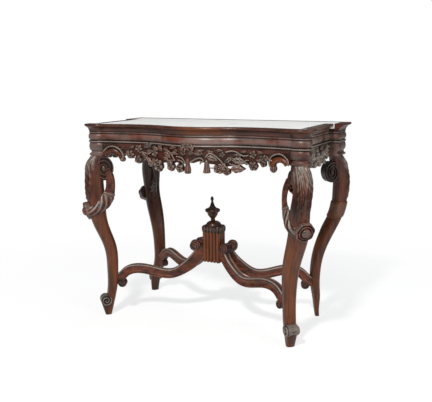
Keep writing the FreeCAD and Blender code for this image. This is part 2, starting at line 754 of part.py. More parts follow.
def make_finial_base():
    """Low dome between the capital and the finial's neck."""
    top = CAPITAL_TOP + DOME_HEIGHT
    rim = CAPITAL_TOP + DOME_HEIGHT * 0.3
    steps = (
        (DOME_RADIUS, CAPITAL_TOP),
        (DOME_RADIUS, rim),
        (DOME_RADIUS * 0.75, rim + DOME_HEIGHT * 0.5, SPIGOT_RADIUS * 2, top),
        (0.0, top),
    )
    return turned((0.0, CAPITAL_TOP), steps).cut(spigot_bore())


def make_finial():
    """Turned urn with a concave spire, a ball and a spigot below."""
    base = CAPITAL_TOP + DOME_HEIGHT
    neck = SPIGOT_RADIUS * 1.3

    def at(share):
        return base + FINIAL_HEIGHT * share

    steps = (
        (SPIGOT_RADIUS, base - SPIGOT_LENGTH),
        (SPIGOT_RADIUS, base),
        (neck, base),
        (neck, at(0.06)),
        (URN_RADIUS * 0.62, at(0.16), URN_RADIUS * 0.72, at(0.30)),
        (URN_RADIUS * 0.9, at(0.345), URN_RADIUS, at(0.42)),
        (URN_RADIUS * 0.99, at(0.49), URN_RADIUS * 0.6, at(0.53)),
        (URN_RADIUS * 0.26, at(0.66), URN_RADIUS * 0.14, at(0.86)),
        dome_top(URN_RADIUS * 0.14, at(0.86), at(1.0)),
    )
    return turned((0.0, base - SPIGOT_LENGTH), steps)


def rail_dowels(clearance):
    """Dowels between the rails and the corner blocks, two in every joint, grown by a clearance."""
    half = DOWEL_LENGTH / 2 + clearance
    middle = RAIL_THICKNESS / 2
    end_x = END_X - middle
    along_front_and_back = ((CREASE_X, -(FRONT_LINE - middle)), (BACK_CREASE_X, BACK_Y - middle))
    dowels = []
    for level in (0.15, 0.75):
        z = BEAD_LEVEL + FRIEZE_HEIGHT * level
        for side in (-1, 1):
            for x, y in along_front_and_back:
                ends = V(side * x - half, y, z), V(side * x + half, y, z)
                dowels.append(rod(DOWEL_RADIUS + clearance, *ends))
            for y in (END_FRONT, END_BACK):
                ends = V(side * end_x, y - half, z), V(side * end_x, y + half, z)
                dowels.append(rod(DOWEL_RADIUS + clearance, *ends))
    return dowels


def make_bearer(side, rails):
    """Cross bearer under the slab, fitted between the front and back rails at the deepest hollow."""
    low = (HOLLOW_X - BEARER_WIDTH / 2, HOLLOW_Y, LEDGE_LEVEL - BEARER_HEIGHT)
    high = (HOLLOW_X + BEARER_WIDTH / 2, BACK_Y - RAIL_THICKNESS, LEDGE_LEVEL)
    bearer = at_corner(box_between(low, high), side, -1)
    for piece in rails:
        bearer = bearer.cut(piece)
    return max(bearer.Solids, key=lambda piece: piece.Volume)


def bored(shape, holes):
    """Shape with the dowel holes cut out."""
    near = [hole for hole in holes if hole.BoundBox.intersect(shape.BoundBox)]
    for hole in near:
        shape = shape.cut(hole)
    return shape.Solids[0] if len(shape.Solids) == 1 else shape


def make_frieze():
    """Rails, corner blocks, cross bearers, rim, slab and their dowels."""
    rim = rim_profile()
    rail = rail_profile()
    holes = rail_dowels(DOWEL_CLEARANCE)
    leg_holes = [at_corner(leg_dowel(DOWEL_CLEARANCE), *sides) for sides in CORNERS.values()]
    pieces = {
        "marble_slab": make_slab(),
        "rim_front": along_front(rim),
        "rim_back": along_x(rim, BACK_LINE, 1, -BACK_CREASE_X, BACK_CREASE_X),
        "rail_front": bored(along_front(rail), holes),
        "rail_back": bored(along_x(rail, BACK_Y, 1, -BACK_CREASE_X, BACK_CREASE_X), holes),
        "rail_dowels": Part.makeCompound(rail_dowels(0.0)),
        "carved_skirt_front": make_front_skirt(),
    }
    for name, side in (("left", -1), ("right", 1)):
        pieces["rim_" + name] = along_y(rim, END_X, side, END_FRONT, END_BACK)
        pieces["rail_" + name] = bored(along_y(rail, END_X, side, END_FRONT, END_BACK), holes)
        pieces["carved_skirt_" + name] = make_end_skirt(side)
    rails = [pieces["rail_front"], pieces["rim_front"], pieces["rim_back"]]
    for name, side in (("left", -1), ("right", 1)):
        pieces["bearer_" + name] = make_bearer(side, rails)
    for name, sides in CORNERS.items():
        pieces["corner_block_" + name] = bored(make_corner_block(*sides), holes + leg_holes)
        pieces["rim_corner_" + name] = make_rim_corner(*sides)
    return pieces


def make_understructure():
    """Legs with their carvings, the stretcher with its hub, and their dowels."""
    leg = make_leg(True)
    bare_leg = make_leg(False)
    rosette = make_rosette(leg)
    branch = make_branch(leg, rosette)
    hub = make_hub()
    arm = make_arm(leg, hub)
    arm_holes = arm_dowels(DOWEL_CLEARANCE)
    leg_holes = arm_holes + [leg_dowel(DOWEL_CLEARANCE)]
    leg_bored = bored(leg, leg_holes)
    bare_leg_bored = bored(bare_leg, leg_holes)
    arm_bored = bored(arm, arm_holes)
    pieces = {
        "stretcher_capital": make_capital(),
        "finial_base": make_finial_base(),
        "finial": make_finial(),
        "knee_seat_back_right": at_corner(make_knee_seat(leg), 1, 1),
    }
    all_holes = []
    leg_pegs = []
    arm_pegs = []
    for name, sides in CORNERS.items():
        pieces["leg_" + name] = at_corner(bare_leg_bored if name == "back_right" else leg_bored, *sides)
        pieces["stretcher_arm_" + name] = at_corner(arm_bored, *sides)
        all_holes += [at_corner(hole, *sides) for hole in arm_holes]
        leg_pegs.append(at_corner(leg_dowel(0.0), *sides))
        arm_pegs += [at_corner(peg, *sides) for peg in arm_dowels(0.0)]
        if name != "back_right":
            pieces["scroll_branch_" + name] = at_corner(branch, *sides)
            pieces["rosette_" + name] = at_corner(rosette, *sides)
    pieces["stretcher_hub"] = bored(hub, all_holes)
    pieces["leg_dowels"] = Part.makeCompound(leg_pegs)
    pieces["arm_dowels"] = Part.makeCompound(arm_pegs)
    return pieces


def main():
    """Build every piece and write each to its own file."""
    os.makedirs("parts", exist_ok=True)
    pieces = make_frieze()
    pieces.update(make_understructure())
    for side in ("left", "right"):
        skirt = "carved_skirt_" + side
        pieces[skirt] = fit_end_skirt(pieces[skirt], pieces["leg_front_" + side])
    for name, shape in pieces.items():
        shape.exportStep("parts/" + name + ".step")
        box = shape.BoundBox
        print("%-28s solids %d valid %s volume %.0f  x %.1f..%.1f  y %.1f..%.1f  z %.1f..%.1f" % (
            name, len(shape.Solids), shape.isValid(), shape.Volume,
            box.XMin, box.XMax, box.YMin, box.YMax, box.ZMin, box.ZMax))


main()
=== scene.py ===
import logging
import math
from collections.abc import Callable, Mapping, Sequence
from dataclasses import dataclass, field
from enum import Enum

import bmesh
import bpy
import numpy as np
from mathutils import Matrix


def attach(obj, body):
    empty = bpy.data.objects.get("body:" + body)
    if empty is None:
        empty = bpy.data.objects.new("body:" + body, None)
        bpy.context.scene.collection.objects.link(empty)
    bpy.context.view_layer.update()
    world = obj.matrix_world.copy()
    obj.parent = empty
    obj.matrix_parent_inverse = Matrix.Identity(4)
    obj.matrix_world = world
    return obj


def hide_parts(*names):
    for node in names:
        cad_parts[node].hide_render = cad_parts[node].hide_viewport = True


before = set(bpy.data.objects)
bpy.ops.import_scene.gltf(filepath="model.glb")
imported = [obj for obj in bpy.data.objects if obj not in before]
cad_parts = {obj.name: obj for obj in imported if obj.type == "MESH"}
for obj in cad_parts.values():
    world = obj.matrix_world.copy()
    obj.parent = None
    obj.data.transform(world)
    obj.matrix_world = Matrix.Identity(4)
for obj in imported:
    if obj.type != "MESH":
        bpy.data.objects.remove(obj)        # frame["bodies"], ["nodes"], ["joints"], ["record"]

# Shapes are worked out in millimetres in the table's frame, +Z up and the front towards -Y.
Array = np.ndarray
Colour = tuple[float, float, float, float]
Point = tuple[float, float]
Triple = tuple[float, float, float]
Material = bpy.types.Material
MM = 0.001
LOG = logging.getLogger("pier_table")
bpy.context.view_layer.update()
# Levels in metres of the painted shade lines in the creases of the frieze's mouldings, and of the pale line
# on their edge that paints highlight along with dust.
CREASES = (0.7316, 0.7402, 0.7680, 0.7765)
EDGES = (0.7360,)
# How far the motifs of the carving reach back behind the face of their panel.
SUNK = -9.0
# Angles in degrees past which an edge stays sharp, on plain and on carved pieces.
PLAIN_EDGE = 42.0
CARVED_EDGE = 60.0
WHITE: Colour = (1.0, 1.0, 1.0, 1.0)


def stack(*columns: Array | float) -> Array:
    """Points whose coordinates are the columns, each spread to the shape of all."""
    return np.stack(np.broadcast_arrays(*columns), axis=-1)


@dataclass
class Surface:
    """Grid surface in millimetres with two shares for the wood at each point.

    Crest is 1 on edges paled with dust and painted highlight and -1 in hollows darkened with painted shade;
    warm is how orange the wood is.
    """

    points: Array
    faces: Array
    crest: Array
    warm: Array

    @classmethod
    def grid(cls, points: Array, crest: Array | float, warm: Array | float = 0.0) -> "Surface":
        """Four-cornered faces between neighbours of a grid whose columns run round a ring.

        Args:
            points: Rows of rings of points, rows by columns by 3.
            crest: Crest share of each point, or of all: dust and painted highlight above 0, painted shade
                below 0.
            warm: Orange share of each point, or of all.

        Returns:
            The surface.
        """
        rows, columns = points.shape[:2]
        index = np.arange(rows * columns).reshape(rows, columns)
        index = np.hstack([index, index[:, :1]])
        corners = (index[:-1, :-1], index[:-1, 1:], index[1:, 1:], index[1:, :-1])
        faces = stack(*corners).reshape(-1, 4)
        shares = [np.broadcast_to(share, (rows, columns)).reshape(-1) for share in (crest, warm)]
        return cls(points.reshape(-1, 3), faces, *shares)

    @classmethod
    def joined(cls, parts: Sequence["Surface"]) -> "Surface":
        """Several surfaces as one, with each one's face numbers moved past the points before it."""
        starts = np.cumsum([0] + [len(part.points) for part in parts[:-1]])
        faces = np.vstack([part.faces + start for part, start in zip(parts, starts)])
        points = np.vstack([part.points for part in parts])
        crest = np.concatenate([part.crest for part in parts])
        warm = np.concatenate([part.warm for part in parts])
        return cls(points, faces, crest, warm)

    def bent(self, place: Callable[[Array], Array]) -> "Surface":
        """Same surface with its points carried through a placing function."""
        return Surface(place(self.points), self.faces, self.crest, self.warm)


def unit(vectors: Array) -> Array:
    """Vectors divided by their own lengths."""
    return vectors / np.linalg.norm(vectors, axis=-1, keepdims=True)


def ease(value: Array, low: float, high: float) -> Array:
    """Smooth step from 0 at low to 1 at high, 3 s^2 - 2 s^3."""
    share = np.clip((value - low) / (high - low), 0.0, 1.0)
    return share * share * (3.0 - 2.0 * share)


def bell(value: Array, middle: float, width: float) -> Array:
    """Bell of height 1 about a middle, exp(-((value - middle) / width)^2)."""
    return np.exp(-((value - middle) / width) ** 2)


def wave(turn: Array) -> Array:
    """Cosine wave between 0 and 1."""
    return 0.5 + 0.5 * np.cos(turn)


def around(count: int) -> Array:
    """Angles of one turn at even steps."""
    return np.linspace(0.0, 2 * np.pi, count, endpoint=False)


def spline(knots: Array, values: Array, at: Array) -> Array:
    """Natural cubic spline: bends at the knots solve a three-band system, and each span is a cubic.

    Args:
        knots: Rising places along the line.
        values: Values at the knots, one row each.
        at: Places to read.

    Returns:
        One row of values for each place.
    """
    step = np.diff(knots)
    count = len(knots)
    inner = np.arange(1, count - 1)
    system = np.eye(count)
    system[inner, inner - 1] = step[:-1]
    system[inner, inner] = 2 * (step[:-1] + step[1:])
    system[inner, inner + 1] = step[1:]
    target = np.zeros_like(values, dtype=float)
    target[1:-1] = 6 * np.diff(np.diff(values, axis=0) / step[:, None], axis=0)
    bend = np.linalg.solve(system, target)
    span = np.clip(np.searchsorted(knots, at) - 1, 0, count - 2)
    wide = step[span][:, None]
    left = (knots[span + 1] - at)[:, None]
    right = (at - knots[span])[:, None]
    curve = (bend[span] * left ** 3 + bend[span + 1] * right ** 3) / (6 * wide)
    chord = values[span] / wide * left + values[span + 1] / wide * right
    return curve + chord - wide / 6 * (bend[span] * left + bend[span + 1] * right)


def line_through(points: Sequence[Sequence[float]], count: int) -> Array:
    """Smooth line through points, a spline over the distance between them, read at even steps."""
    given = np.array(points, float)
    knots = np.concatenate([[0.0], np.cumsum(np.linalg.norm(np.diff(given, axis=0), axis=1))])
    return spline(knots, given, np.linspace(0.0, knots[-1], count))


def oval(width: Array | float, height: Array | float, count: int = 18, power: float = 2.0) -> Array:
    """Ring of rounded-square points, width |cos|^(2/power) across and height |sin|^(2/power) up.

    Args:
        width: Half width, one number or one for each ring.
        height: Half height, likewise.
        count: Points in the ring.
        power: 2 for an ellipse, more for a squarer ring.

    Returns:
        Points by 2, or rings by points by 2.
    """
    turn = around(count)
    ring = stack(np.cos(turn), np.sin(turn))
    ring = np.sign(ring) * np.abs(ring) ** (2.0 / power)
    return ring * stack(width, height)[..., None, :]


def closed(rings: Array, crest: Array | float, warm: Array | float = 0.0) -> Surface:
    """Tube of rings closed by drawing its first and last rings in to their middles."""
    middles = np.broadcast_to(rings[[0, -1]].mean(axis=1, keepdims=True), (2,) + rings.shape[1:])
    shares = [np.broadcast_to(share, rings.shape[:2]) for share in (crest, warm)]
    shares = [np.concatenate([share[:1], share, share[-1:]]) for share in shares]
    return Surface.grid(np.concatenate([middles[:1], rings, middles[1:]]), *shares)


def carry(path: Array, section: Array, lift: Sequence[float], crest: Array | float,
          warm: Array | float = 0.0) -> Surface:
    """Profile carried along a path and closed at its ends.

    A point is path + across * side + height * up, where up is the lift squared off to the path
    and side is the path's direction crossed with up.

    Args:
        path: Points of the path.
        section: Profile points as (across, height), one ring or one for each path point.
        lift: Direction that the profile's height leans to.
        crest: Crest share of the points: dust and painted highlight above 0, painted shade below 0.
        warm: Orange share of the points.

    Returns:
        The closed surface.
    """
    ahead = unit(np.gradient(path, axis=0))
    lean = np.broadcast_to(np.array(lift, float), path.shape)
    up = unit(lean - ahead * (lean * ahead).sum(axis=1, keepdims=True))
    side = np.cross(ahead, up)
    rings = path[:, None] + section[..., :1] * side[:, None] + section[..., 1:] * up[:, None]
    return closed(rings, crest, warm)


def turned(profile: Sequence[Point], count: int = 40, steps: int = 60, smooth: bool = True) -> Array:
    """Rings of a turned shape about Z: the profile's radius swept round, at the profile's height."""
    line = line_through(profile, steps) if smooth else np.array(profile, float)
    turn = around(count)
    radius = np.maximum(line[:, :1], 0.0)
    return stack(radius * np.cos(turn), radius * np.sin(turn), line[:, 1:])


def drum(radius: float, half: float, count: int) -> Array:
    """Rings of a round peg about Z with flat ends."""
    return turned(((0.1, -half), (radius, -half), (radius, half), (0.1, half)), count, smooth=False)


def stacked(ring: Array, out: Array, side: Array, height: Array) -> Array:
    """Rings of (outward, sideways) points, each set about its own middle and height.

    Args:
        ring: Rings by points by 2.
        out: Outward place of each ring's middle.
        side: Its sideways place.
        height: Its height.

    Returns:
        Rings by points by 3.
    """
    return stack(out[:, None] + ring[..., 0], side[:, None] + ring[..., 1], height[:, None])


def spiral(centre: Point, outer: float, inner: float, turns: float, start: float, count: int = 90) -> Array:
    """Flat spiral whose radius falls evenly from outer to inner over its turns, as (across, height)."""
    share = np.linspace(0.0, 1.0, count)
    turn = start + 2 * np.pi * turns * share
    radius = outer + (inner - outer) * share
    return stack(centre[0] + radius * np.cos(turn), centre[1] + radius * np.sin(turn))


class Value:
    """Socket of a node sheet, whose arithmetic adds Math nodes."""

    def __init__(self, sheet: "Sheet", socket: bpy.types.NodeSocket) -> None:
        """Keeps the sheet and the socket."""
        self.sheet = sheet
        self.socket = socket

    def maths(self, operation: str, *terms: "Value | float") -> "Value":
        """Math node of an operation on terms."""
        return self.sheet.node("ShaderNodeMath", {"operation": operation}, dict(enumerate(terms)))

    def __add__(self, other: "Value | float") -> "Value":
        """Sum."""
        return self.maths("ADD", self, other)

    def __radd__(self, other: float) -> "Value":
        """Sum with the number first."""
        return self.maths("ADD", other, self)

    def __sub__(self, other: "Value | float") -> "Value":
        """Difference."""
        return self.maths("SUBTRACT", self, other)

    def __rsub__(self, other: float) -> "Value":
        """Difference with the number first."""
        return self.maths("SUBTRACT", other, self)

    def __mul__(self, other: "Value | float") -> "Value":
        """Product."""
        return self.maths("MULTIPLY", self, other)

    def __abs__(self) -> "Value":
        """Size without its sign."""
        return self.maths("ABSOLUTE", self)

    def clamped(self) -> "Value":
        """Value held between 0 and 1."""
        return self.sheet.node("ShaderNodeClamp", {}, {"Value": self})


class Sheet:
    """Node sheet of one material or of the world."""

    def __init__(self, owner: "Material | bpy.types.World") -> None:
        """Empties the owner's sheet."""
        owner.use_nodes = True
        self.owner = owner
        self.tree = owner.node_tree
        self.tree.nodes.clear()

    def node(self, kind: str, settings: Mapping[str, object], sockets: Mapping[int | str, object],
             output: int | str = 0) -> Value:
        """Any node: its settings are set first, then its sockets get values or links.

        Args:
            kind: Blender's name of the node.
            settings: Attributes of the node.
            sockets: Value or link for each input, by name or number.
            output: Output to return.

        Returns:
            The output.
        """
        node = self.tree.nodes.new(kind)
        for name, value in settings.items():
            setattr(node, name, value)
        for name, value in sockets.items():
            if isinstance(value, Value):
                self.tree.links.new(value.socket, node.inputs[name])
            else:
                node.inputs[name].default_value = value
        return Value(self, node.outputs[output])

    def blend(self, share: "Value | float", low: "Value | Colour", high: "Value | Colour") -> Value:
        """Colour from low at share 0 to high at share 1."""
        return self.node("ShaderNodeMix", {"data_type": "RGBA"}, {0: share, 6: low, 7: high}, 2)

    def noise(self, stretch: Sequence[float], detail: float, rough: float) -> Value:
        """Noise over the object's own coordinates, stretched along its axes."""
        place = self.node("ShaderNodeTexCoord", {}, {}, "Object")
        place = self.node("ShaderNodeMapping", {}, {"Vector": place, "Scale": tuple(stretch)})
        return self.node("ShaderNodeTexNoise", {},
                         {"Vector": place, "Scale": 1.0, "Detail": detail, "Roughness": rough})

    def attribute(self, name: str) -> Value:
        """Number that the mesh carries at each point under a name."""
        return self.node("ShaderNodeAttribute", {"attribute_name": name}, {}, "Fac")

    def finish(self, shader: Value, kind: str = "ShaderNodeOutputMaterial") -> "Material | bpy.types.World":
        """Owner of the sheet, with the shader on its surface."""
        end = self.tree.nodes.new(kind)
        self.tree.links.new(shader.socket, end.inputs["Surface"])
        return self.owner


class Grain(Enum):
    """Stretch of the wood's grain, fine across it and long along it."""

    ALONG_X = (1.0, 14.0, 14.0)
    ALONG_Y = (14.0, 1.0, 14.0)
    UPRIGHT = (14.0, 14.0, 1.0)


@dataclass(frozen=True)
class Rosewood:
    """Dark rosewood under old polish: orange where it is worn, grey-green with dust and painted highlight on
    carved crests, painted shade in hollows, and a painted grey sheen.
    """

    name: str
    grain: Grain
    dark: Colour = (0.0120, 0.0034, 0.0022, 1.0)
    light: Colour = (0.078, 0.0182, 0.0072, 1.0)
    warm: Colour = (0.142, 0.0370, 0.0062, 1.0)
    # Pale grey-green of the crests and edges: dust, and painted highlight where light would catch them.
    dust: Colour = (0.282, 0.274, 0.240, 1.0)
    # Near-black of the dark seams, and painted shade in hollows and creases.
    seam_and_shade: Colour = (0.0050, 0.0028, 0.0022, 1.0)
    rough: float = 0.34
    # Grey painted sheen, laid on by the share below, that stands in for reflection on the polish.
    film: Colour = (0.215, 0.158, 0.140, 1.0)
    dust_share: float = 0.60
    veil: float = 0.0
    seams: tuple[float, ...] = ()
    # Heights of painted shade lines in creases, and of pale edge lines that paint highlight along with dust.
    creases: tuple[float, ...] = ()
    edges: tuple[float, ...] = ()
    worn: tuple[float, ...] = ()
    # Scales of the noises, and the sharpness and strength of each kind of line.
    broad_scale: float = 4.0
    fine_scale: float = 24.0
    cloud_scale: float = 9.0
    speck_scale: float = 160.0
    worn_line: Point = (10.0, 0.55)
    seam_line: Point = (900.0, 0.85)
    crease_line: Point = (420.0, 0.88)
    edge_line: Point = (900.0, 0.60)

    def material(self) -> Material:
        """Streaks of dark and light, a warm share, dust with painted highlight on crests and painted shade in
        hollows by the crest attribute, a painted sheen, and fine pores.
        """
        sheet = Sheet(bpy.data.materials.new(self.name))
        broad = sheet.noise([self.broad_scale * size for size in self.grain.value], 5.0, 0.6)
        fine = sheet.noise([self.fine_scale * size for size in self.grain.value], 6.0, 0.7)
        cloud = sheet.noise([self.cloud_scale] * 3, 3.0, 0.5)
        speck = sheet.noise([self.speck_scale] * 3, 4.0, 0.7)
        streak = ((broad - 0.5) * 3.0 + (fine - 0.5) * 1.6 + 0.44).clamped()
        wood = sheet.blend(streak, self.dark, self.light)
        orange = (sheet.attribute("warm") * (0.55 + streak * 0.6) + (cloud - 0.58) * 0.9).clamped()
        wood = sheet.blend(orange, wood, self.warm)
        crest = sheet.attribute("crest")
        # Above 0 the crest lays dust and painted highlight; below 0 it lays painted shade.
        dust_and_highlight_mask = (crest * (speck * 1.5 + cloud * 0.8 - 0.45) * self.dust_share).clamped()
        # Painted shade: below 0 the crest darkens the wood towards near-black.
        wood = sheet.blend((crest * -0.85).clamped(), wood, self.seam_and_shade)
        # Painted sheen: grey film in cloudy patches, standing in for reflection on the polish.
        wood = sheet.blend((cloud * 4.0 - 1.3).clamped() * self.veil, wood, self.film)
        colour = self.lined(sheet, sheet.blend(dust_and_highlight_mask, wood, self.dust))
        rough = self.rough + (fine - 0.5) * 0.16 + dust_and_highlight_mask * 0.22
        bump = sheet.node("ShaderNodeBump", {}, {"Strength": 0.18, "Distance": 0.0008,
                                                 "Height": fine * 0.6 + speck * 0.4})
        shader = sheet.node("ShaderNodeBsdfPrincipled", {},
                            {"Base Color": colour, "Roughness": rough, "Normal": bump,
                             "Specular IOR Level": 0.24, "Coat Weight": 0.10, "Coat Roughness": 0.25})
        return sheet.finish(shader)

    def lined(self, sheet: Sheet, wood: Value) -> Value:
        """Wood with worn patches, dark upright seams, painted shade lines in its creases, and pale lines on
        its edges that paint highlight along with dust.

        Args:
            sheet: Sheet that the wood is on.
            wood: Colour of the wood.

        Returns:
            The colour with the lines drawn.
        """
        place = sheet.node("ShaderNodeTexCoord", {}, {}, "Object")
        lines = [("X", at, self.worn_line, self.warm) for at in self.worn]
        lines += [("X", at, self.seam_line, self.seam_and_shade) for at in self.seams]
        # Painted shade along the creases, and pale painted highlight with dust along the edges.
        lines += [("Z", at, self.crease_line, self.seam_and_shade) for at in self.creases]
        lines += [("Z", at, self.edge_line, self.dust) for at in self.edges]
        for axis, at, (fall, share), colour in lines:
            away = abs(sheet.node("ShaderNodeSeparateXYZ", {}, {0: place}, axis) - at)
            wood = sheet.blend((1.4 - away * fall).clamped() * share, wood, colour)
        return wood


@dataclass(frozen=True)
class Marble:
    """Pale honed marble with soft grey clouds and thin veins."""

    name: str
    ground: Colour = (0.96, 0.96, 0.94, 1.0)
    cloud: Colour = (0.88, 0.88, 0.87, 1.0)
    vein: Colour = (0.70, 0.70, 0.70, 1.0)

    def material(self) -> Material:
        """Clouds by noise, and veins where a second noise crosses its middle."""
        sheet = Sheet(bpy.data.materials.new(self.name))
        clouds = sheet.noise((5.0, 8.0, 8.0), 5.0, 0.55)
        lines = sheet.noise((3.0, 6.5, 6.0), 6.0, 0.6)
        colour = sheet.blend((clouds * 2.4 - 0.8).clamped(), self.ground, self.cloud)
        away = abs(lines - 0.5)
        colour = sheet.blend((0.55 - away * 26.0).clamped(), colour, self.vein)
        rough = 0.26 + clouds * 0.12
        shader = sheet.node("ShaderNodeBsdfPrincipled", {}, {"Base Color": colour, "Roughness": rough})
        return sheet.finish(shader)


@dataclass(frozen=True)
class InnerWood:
    """Unpolished pine and beech inside the table."""

    name: str
    dark: Colour = (0.10, 0.052, 0.024, 1.0)
    light: Colour = (0.22, 0.125, 0.062, 1.0)

    def material(self) -> Material:
        """Long streaks with a rough surface."""
        sheet = Sheet(bpy.data.materials.new(self.name))
        streak = sheet.noise((40.0, 5.0, 40.0), 5.0, 0.6)
        fine = sheet.noise((300.0, 40.0, 300.0), 4.0, 0.6)
        colour = sheet.blend((streak * 1.6 - 0.3).clamped(), self.dark, self.light)
        bump = sheet.node("ShaderNodeBump", {}, {"Strength": 0.2, "Distance": 0.0008, "Height": fine})
        rough = 0.62 + (fine - 0.5) * 0.2
        shader = sheet.node("ShaderNodeBsdfPrincipled", {},
                            {"Base Color": colour, "Roughness": rough, "Normal": bump})
        return sheet.finish(shader)


@dataclass(frozen=True)
class PaleFloor:
    """Plain white floor that keeps soft shadows."""

    name: str
    colour: Colour = (0.96, 0.97, 0.98, 1.0)
    white_share: float = 0.86

    def material(self) -> Material:
        """Matt floor mixed with plain white where the camera sees it, the more so away from the table."""
        sheet = Sheet(bpy.data.materials.new(self.name))
        seen = sheet.node("ShaderNodeLightPath", {}, {}, "Is Camera Ray")
        place = sheet.node("ShaderNodeTexCoord", {}, {}, "Object")
        away = sheet.node("ShaderNodeVectorMath", {"operation": "LENGTH"}, {0: place}, "Value")
        white_share = (self.white_share + (away - 1.0) * 0.2).clamped()
        matt = sheet.node("ShaderNodeBsdfDiffuse", {}, {"Color": self.colour})
        white = sheet.node("ShaderNodeEmission", {}, {"Color": WHITE, "Strength": 1.0})
        shader = sheet.node("ShaderNodeMixShader", {}, {0: seen * white_share, 1: matt, 2: white})
        return sheet.finish(shader)


class Slot(Enum):
    """Material slots of the record."""

    CARVED = "carved_wood"
    INNER = "inner_wood"


# Lines of the frieze's mouldings, and the grey painted sheen on the table's ends.
MOULDED = {"creases": CREASES, "edges": EDGES}
END_SHEEN: Colour = (0.250, 0.195, 0.150, 1.0)


def made(finish: Callable[..., Rosewood | Marble | InnerWood], *given: object, **options: object) -> Material:
    """Field that holds the material of a finish, made with the finishes."""
    return field(default_factory=lambda: finish(*given, **options).material())


@dataclass
class Finishes:
    """All the finishes of the table as materials, made once."""

    marble: Material = made(Marble, "marble")
    long_wood: Material = made(Rosewood, "rosewood_long", Grain.ALONG_X, veil=0.05, worn=(0.06,), **MOULDED)
    veneer: Material = made(Rosewood, "rosewood_veneer", Grain.ALONG_X, light=(0.120, 0.0270, 0.0125, 1.0),
                            film=(0.245, 0.188, 0.170, 1.0), veil=0.48, seams=(-0.113, 0.347), **MOULDED)
    deep_wood: Material = made(Rosewood, "rosewood_deep", Grain.ALONG_Y, film=END_SHEEN, veil=0.80, **MOULDED)
    end_rim: Material = made(Rosewood, "rosewood_end_rim", Grain.ALONG_Y, film=END_SHEEN, veil=0.28, **MOULDED)
    corner_wood: Material = made(Rosewood, "rosewood_corner", Grain.ALONG_X, rough=0.42, veil=0.55, **MOULDED)
    # Darker copy of the upright wood: painted shade for the back left leg, which stands in the top's shadow.
    # The capital and the finial's base take it too.
    shaded_wood: Material = made(Rosewood, "rosewood_shaded", Grain.UPRIGHT, dust_share=0.35,
                                 light=(0.050, 0.0145, 0.0075, 1.0), warm=(0.078, 0.0240, 0.0075, 1.0))
    upright_wood: Material = made(Rosewood, "rosewood_upright", Grain.UPRIGHT)
    carved: Material = made(Rosewood, "rosewood_carved", Grain.ALONG_X, light=(0.130, 0.0310, 0.0145, 1.0),
                            rough=0.38, dust_share=0.95)
    end_carved: Material = made(Rosewood, "rosewood_end", Grain.ALONG_Y, film=(0.270, 0.225, 0.180, 1.0),
                                veil=0.55, dust_share=0.95)
    inner: Material = made(InnerWood, "inner_wood")


def put_piece(name: str, surface: Surface, material: Material, nodes: Sequence[str],
              sharp: float = PLAIN_EDGE, slot: Slot = Slot.CARVED) -> None:
    """Mesh of a surface, with doubles merged and faces outward, that stands for CAD nodes of the table.

    Args:
        name: Name of the piece.
        surface: Its surface in millimetres.
        material: Its finish.
        nodes: CAD nodes that it stands for.
        sharp: Angle in degrees past which an edge stays sharp.
        slot: Material slot of the record; not used.
    """
    mesh = bpy.data.meshes.new(name)
    mesh.from_pydata((surface.points * MM).tolist(), [], surface.faces.tolist())
    for key, values in (("crest", surface.crest), ("warm", surface.warm)):
        mesh.attributes.new(key, "FLOAT", "POINT").data.foreach_set("value", values.astype(np.float32))
    shape = bmesh.new()
    shape.from_mesh(mesh)
    bmesh.ops.remove_doubles(shape, verts=shape.verts, dist=1e-6)
    bmesh.ops.recalc_face_normals(shape, faces=shape.faces)
    shape.to_mesh(mesh)
    shape.free()
    mesh.polygons.foreach_set("use_smooth", np.ones(len(mesh.polygons), bool))
    mesh.set_sharp_from_angle(angle=math.radians(sharp))
    mesh.materials.append(material)
    piece = bpy.data.objects.new(name, mesh)
    bpy.context.scene.collection.objects.link(piece)
    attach(piece, "table")
    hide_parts(*nodes)
    LOG.info("%s: %d faces for %s", name, len(mesh.polygons), ", ".join(nodes))


class Corner(Enum):
    """Corners of the table, as the signs of X and Y."""

    FRONT_LEFT = (-1, -1)
    FRONT_RIGHT = (1, -1)
    BACK_LEFT = (-1, 1)
    BACK_RIGHT = (1, 1)

    @property
    def label(self) -> str:
        """Corner's name as the nodes have it."""
        return self.name.lower()

    def mirror(self, points: Array) -> Array:
        """Points of the front right corner, mirrored to this one."""
        return points * np.array([self.value[0], -self.value[1], 1])


def paint(names: Sequence[str], material: Material) -> None:
    """Puts a material on the named solids."""
    for name in names:
        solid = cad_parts[name]
        solid.data.materials.clear()
        solid.data.materials.append(material)
        LOG.info("%s: %s", name, material.name)


@dataclass
class TopAndFrieze:
    """Slab, rim, frieze rails, corner blocks and bearers, whose solids are dressed as they are."""

    finishes: Finishes

    def dress(self) -> None:
        """Gives every solid of the top its finish, with the grain along its length."""
        paint(("marble_slab",), self.finishes.marble)
        paint(("rim_front", "rim_back", "rail_back"), self.finishes.long_wood)
        paint(("rail_front",), self.finishes.veneer)
        paint(("rail_left", "rail_right"), self.finishes.deep_wood)
        paint(("rim_left", "rim_right"), self.finishes.end_rim)
        paint([f"rim_corner_{corner.label}" for corner in Corner], self.finishes.long_wood)
        paint([f"corner_block_{corner.label}" for corner in Corner], self.finishes.corner_wood)
        paint(("bearer_left", "bearer_right", "rail_dowels"), self.finishes.inner)


@dataclass(frozen=True)
class Habit:
    """How one leg differs from the rest, as it was carved by hand.

    Rows are height, step outward, step sideways and slimness. The volute has a place and a half width,
    half height and half length. The arm to the leg rises by its own step, and its root is deeper below
    by its own share.
    """

    rows: tuple[tuple[float, float, float, float], ...]
    volute_at: Point
    volute_size: Triple
    branch_side: float = 0.0
    rosette_out: float = 84.0
    arm_rise: float = 0.0
    root_depth: float = 0.3

    def at(self, height: Array) -> Array:
        """Rows of outward step, sideways step and slimness, by a spline through the habit's rows."""
        table = np.array(self.rows)
        return spline(table[:, 0], table[:, 1:], height).T

    def shift(self, height: float) -> Point:
        """Outward and sideways step at one height."""
        out, side, _ = self.at(np.array([height]))[:, 0]
        return out, side


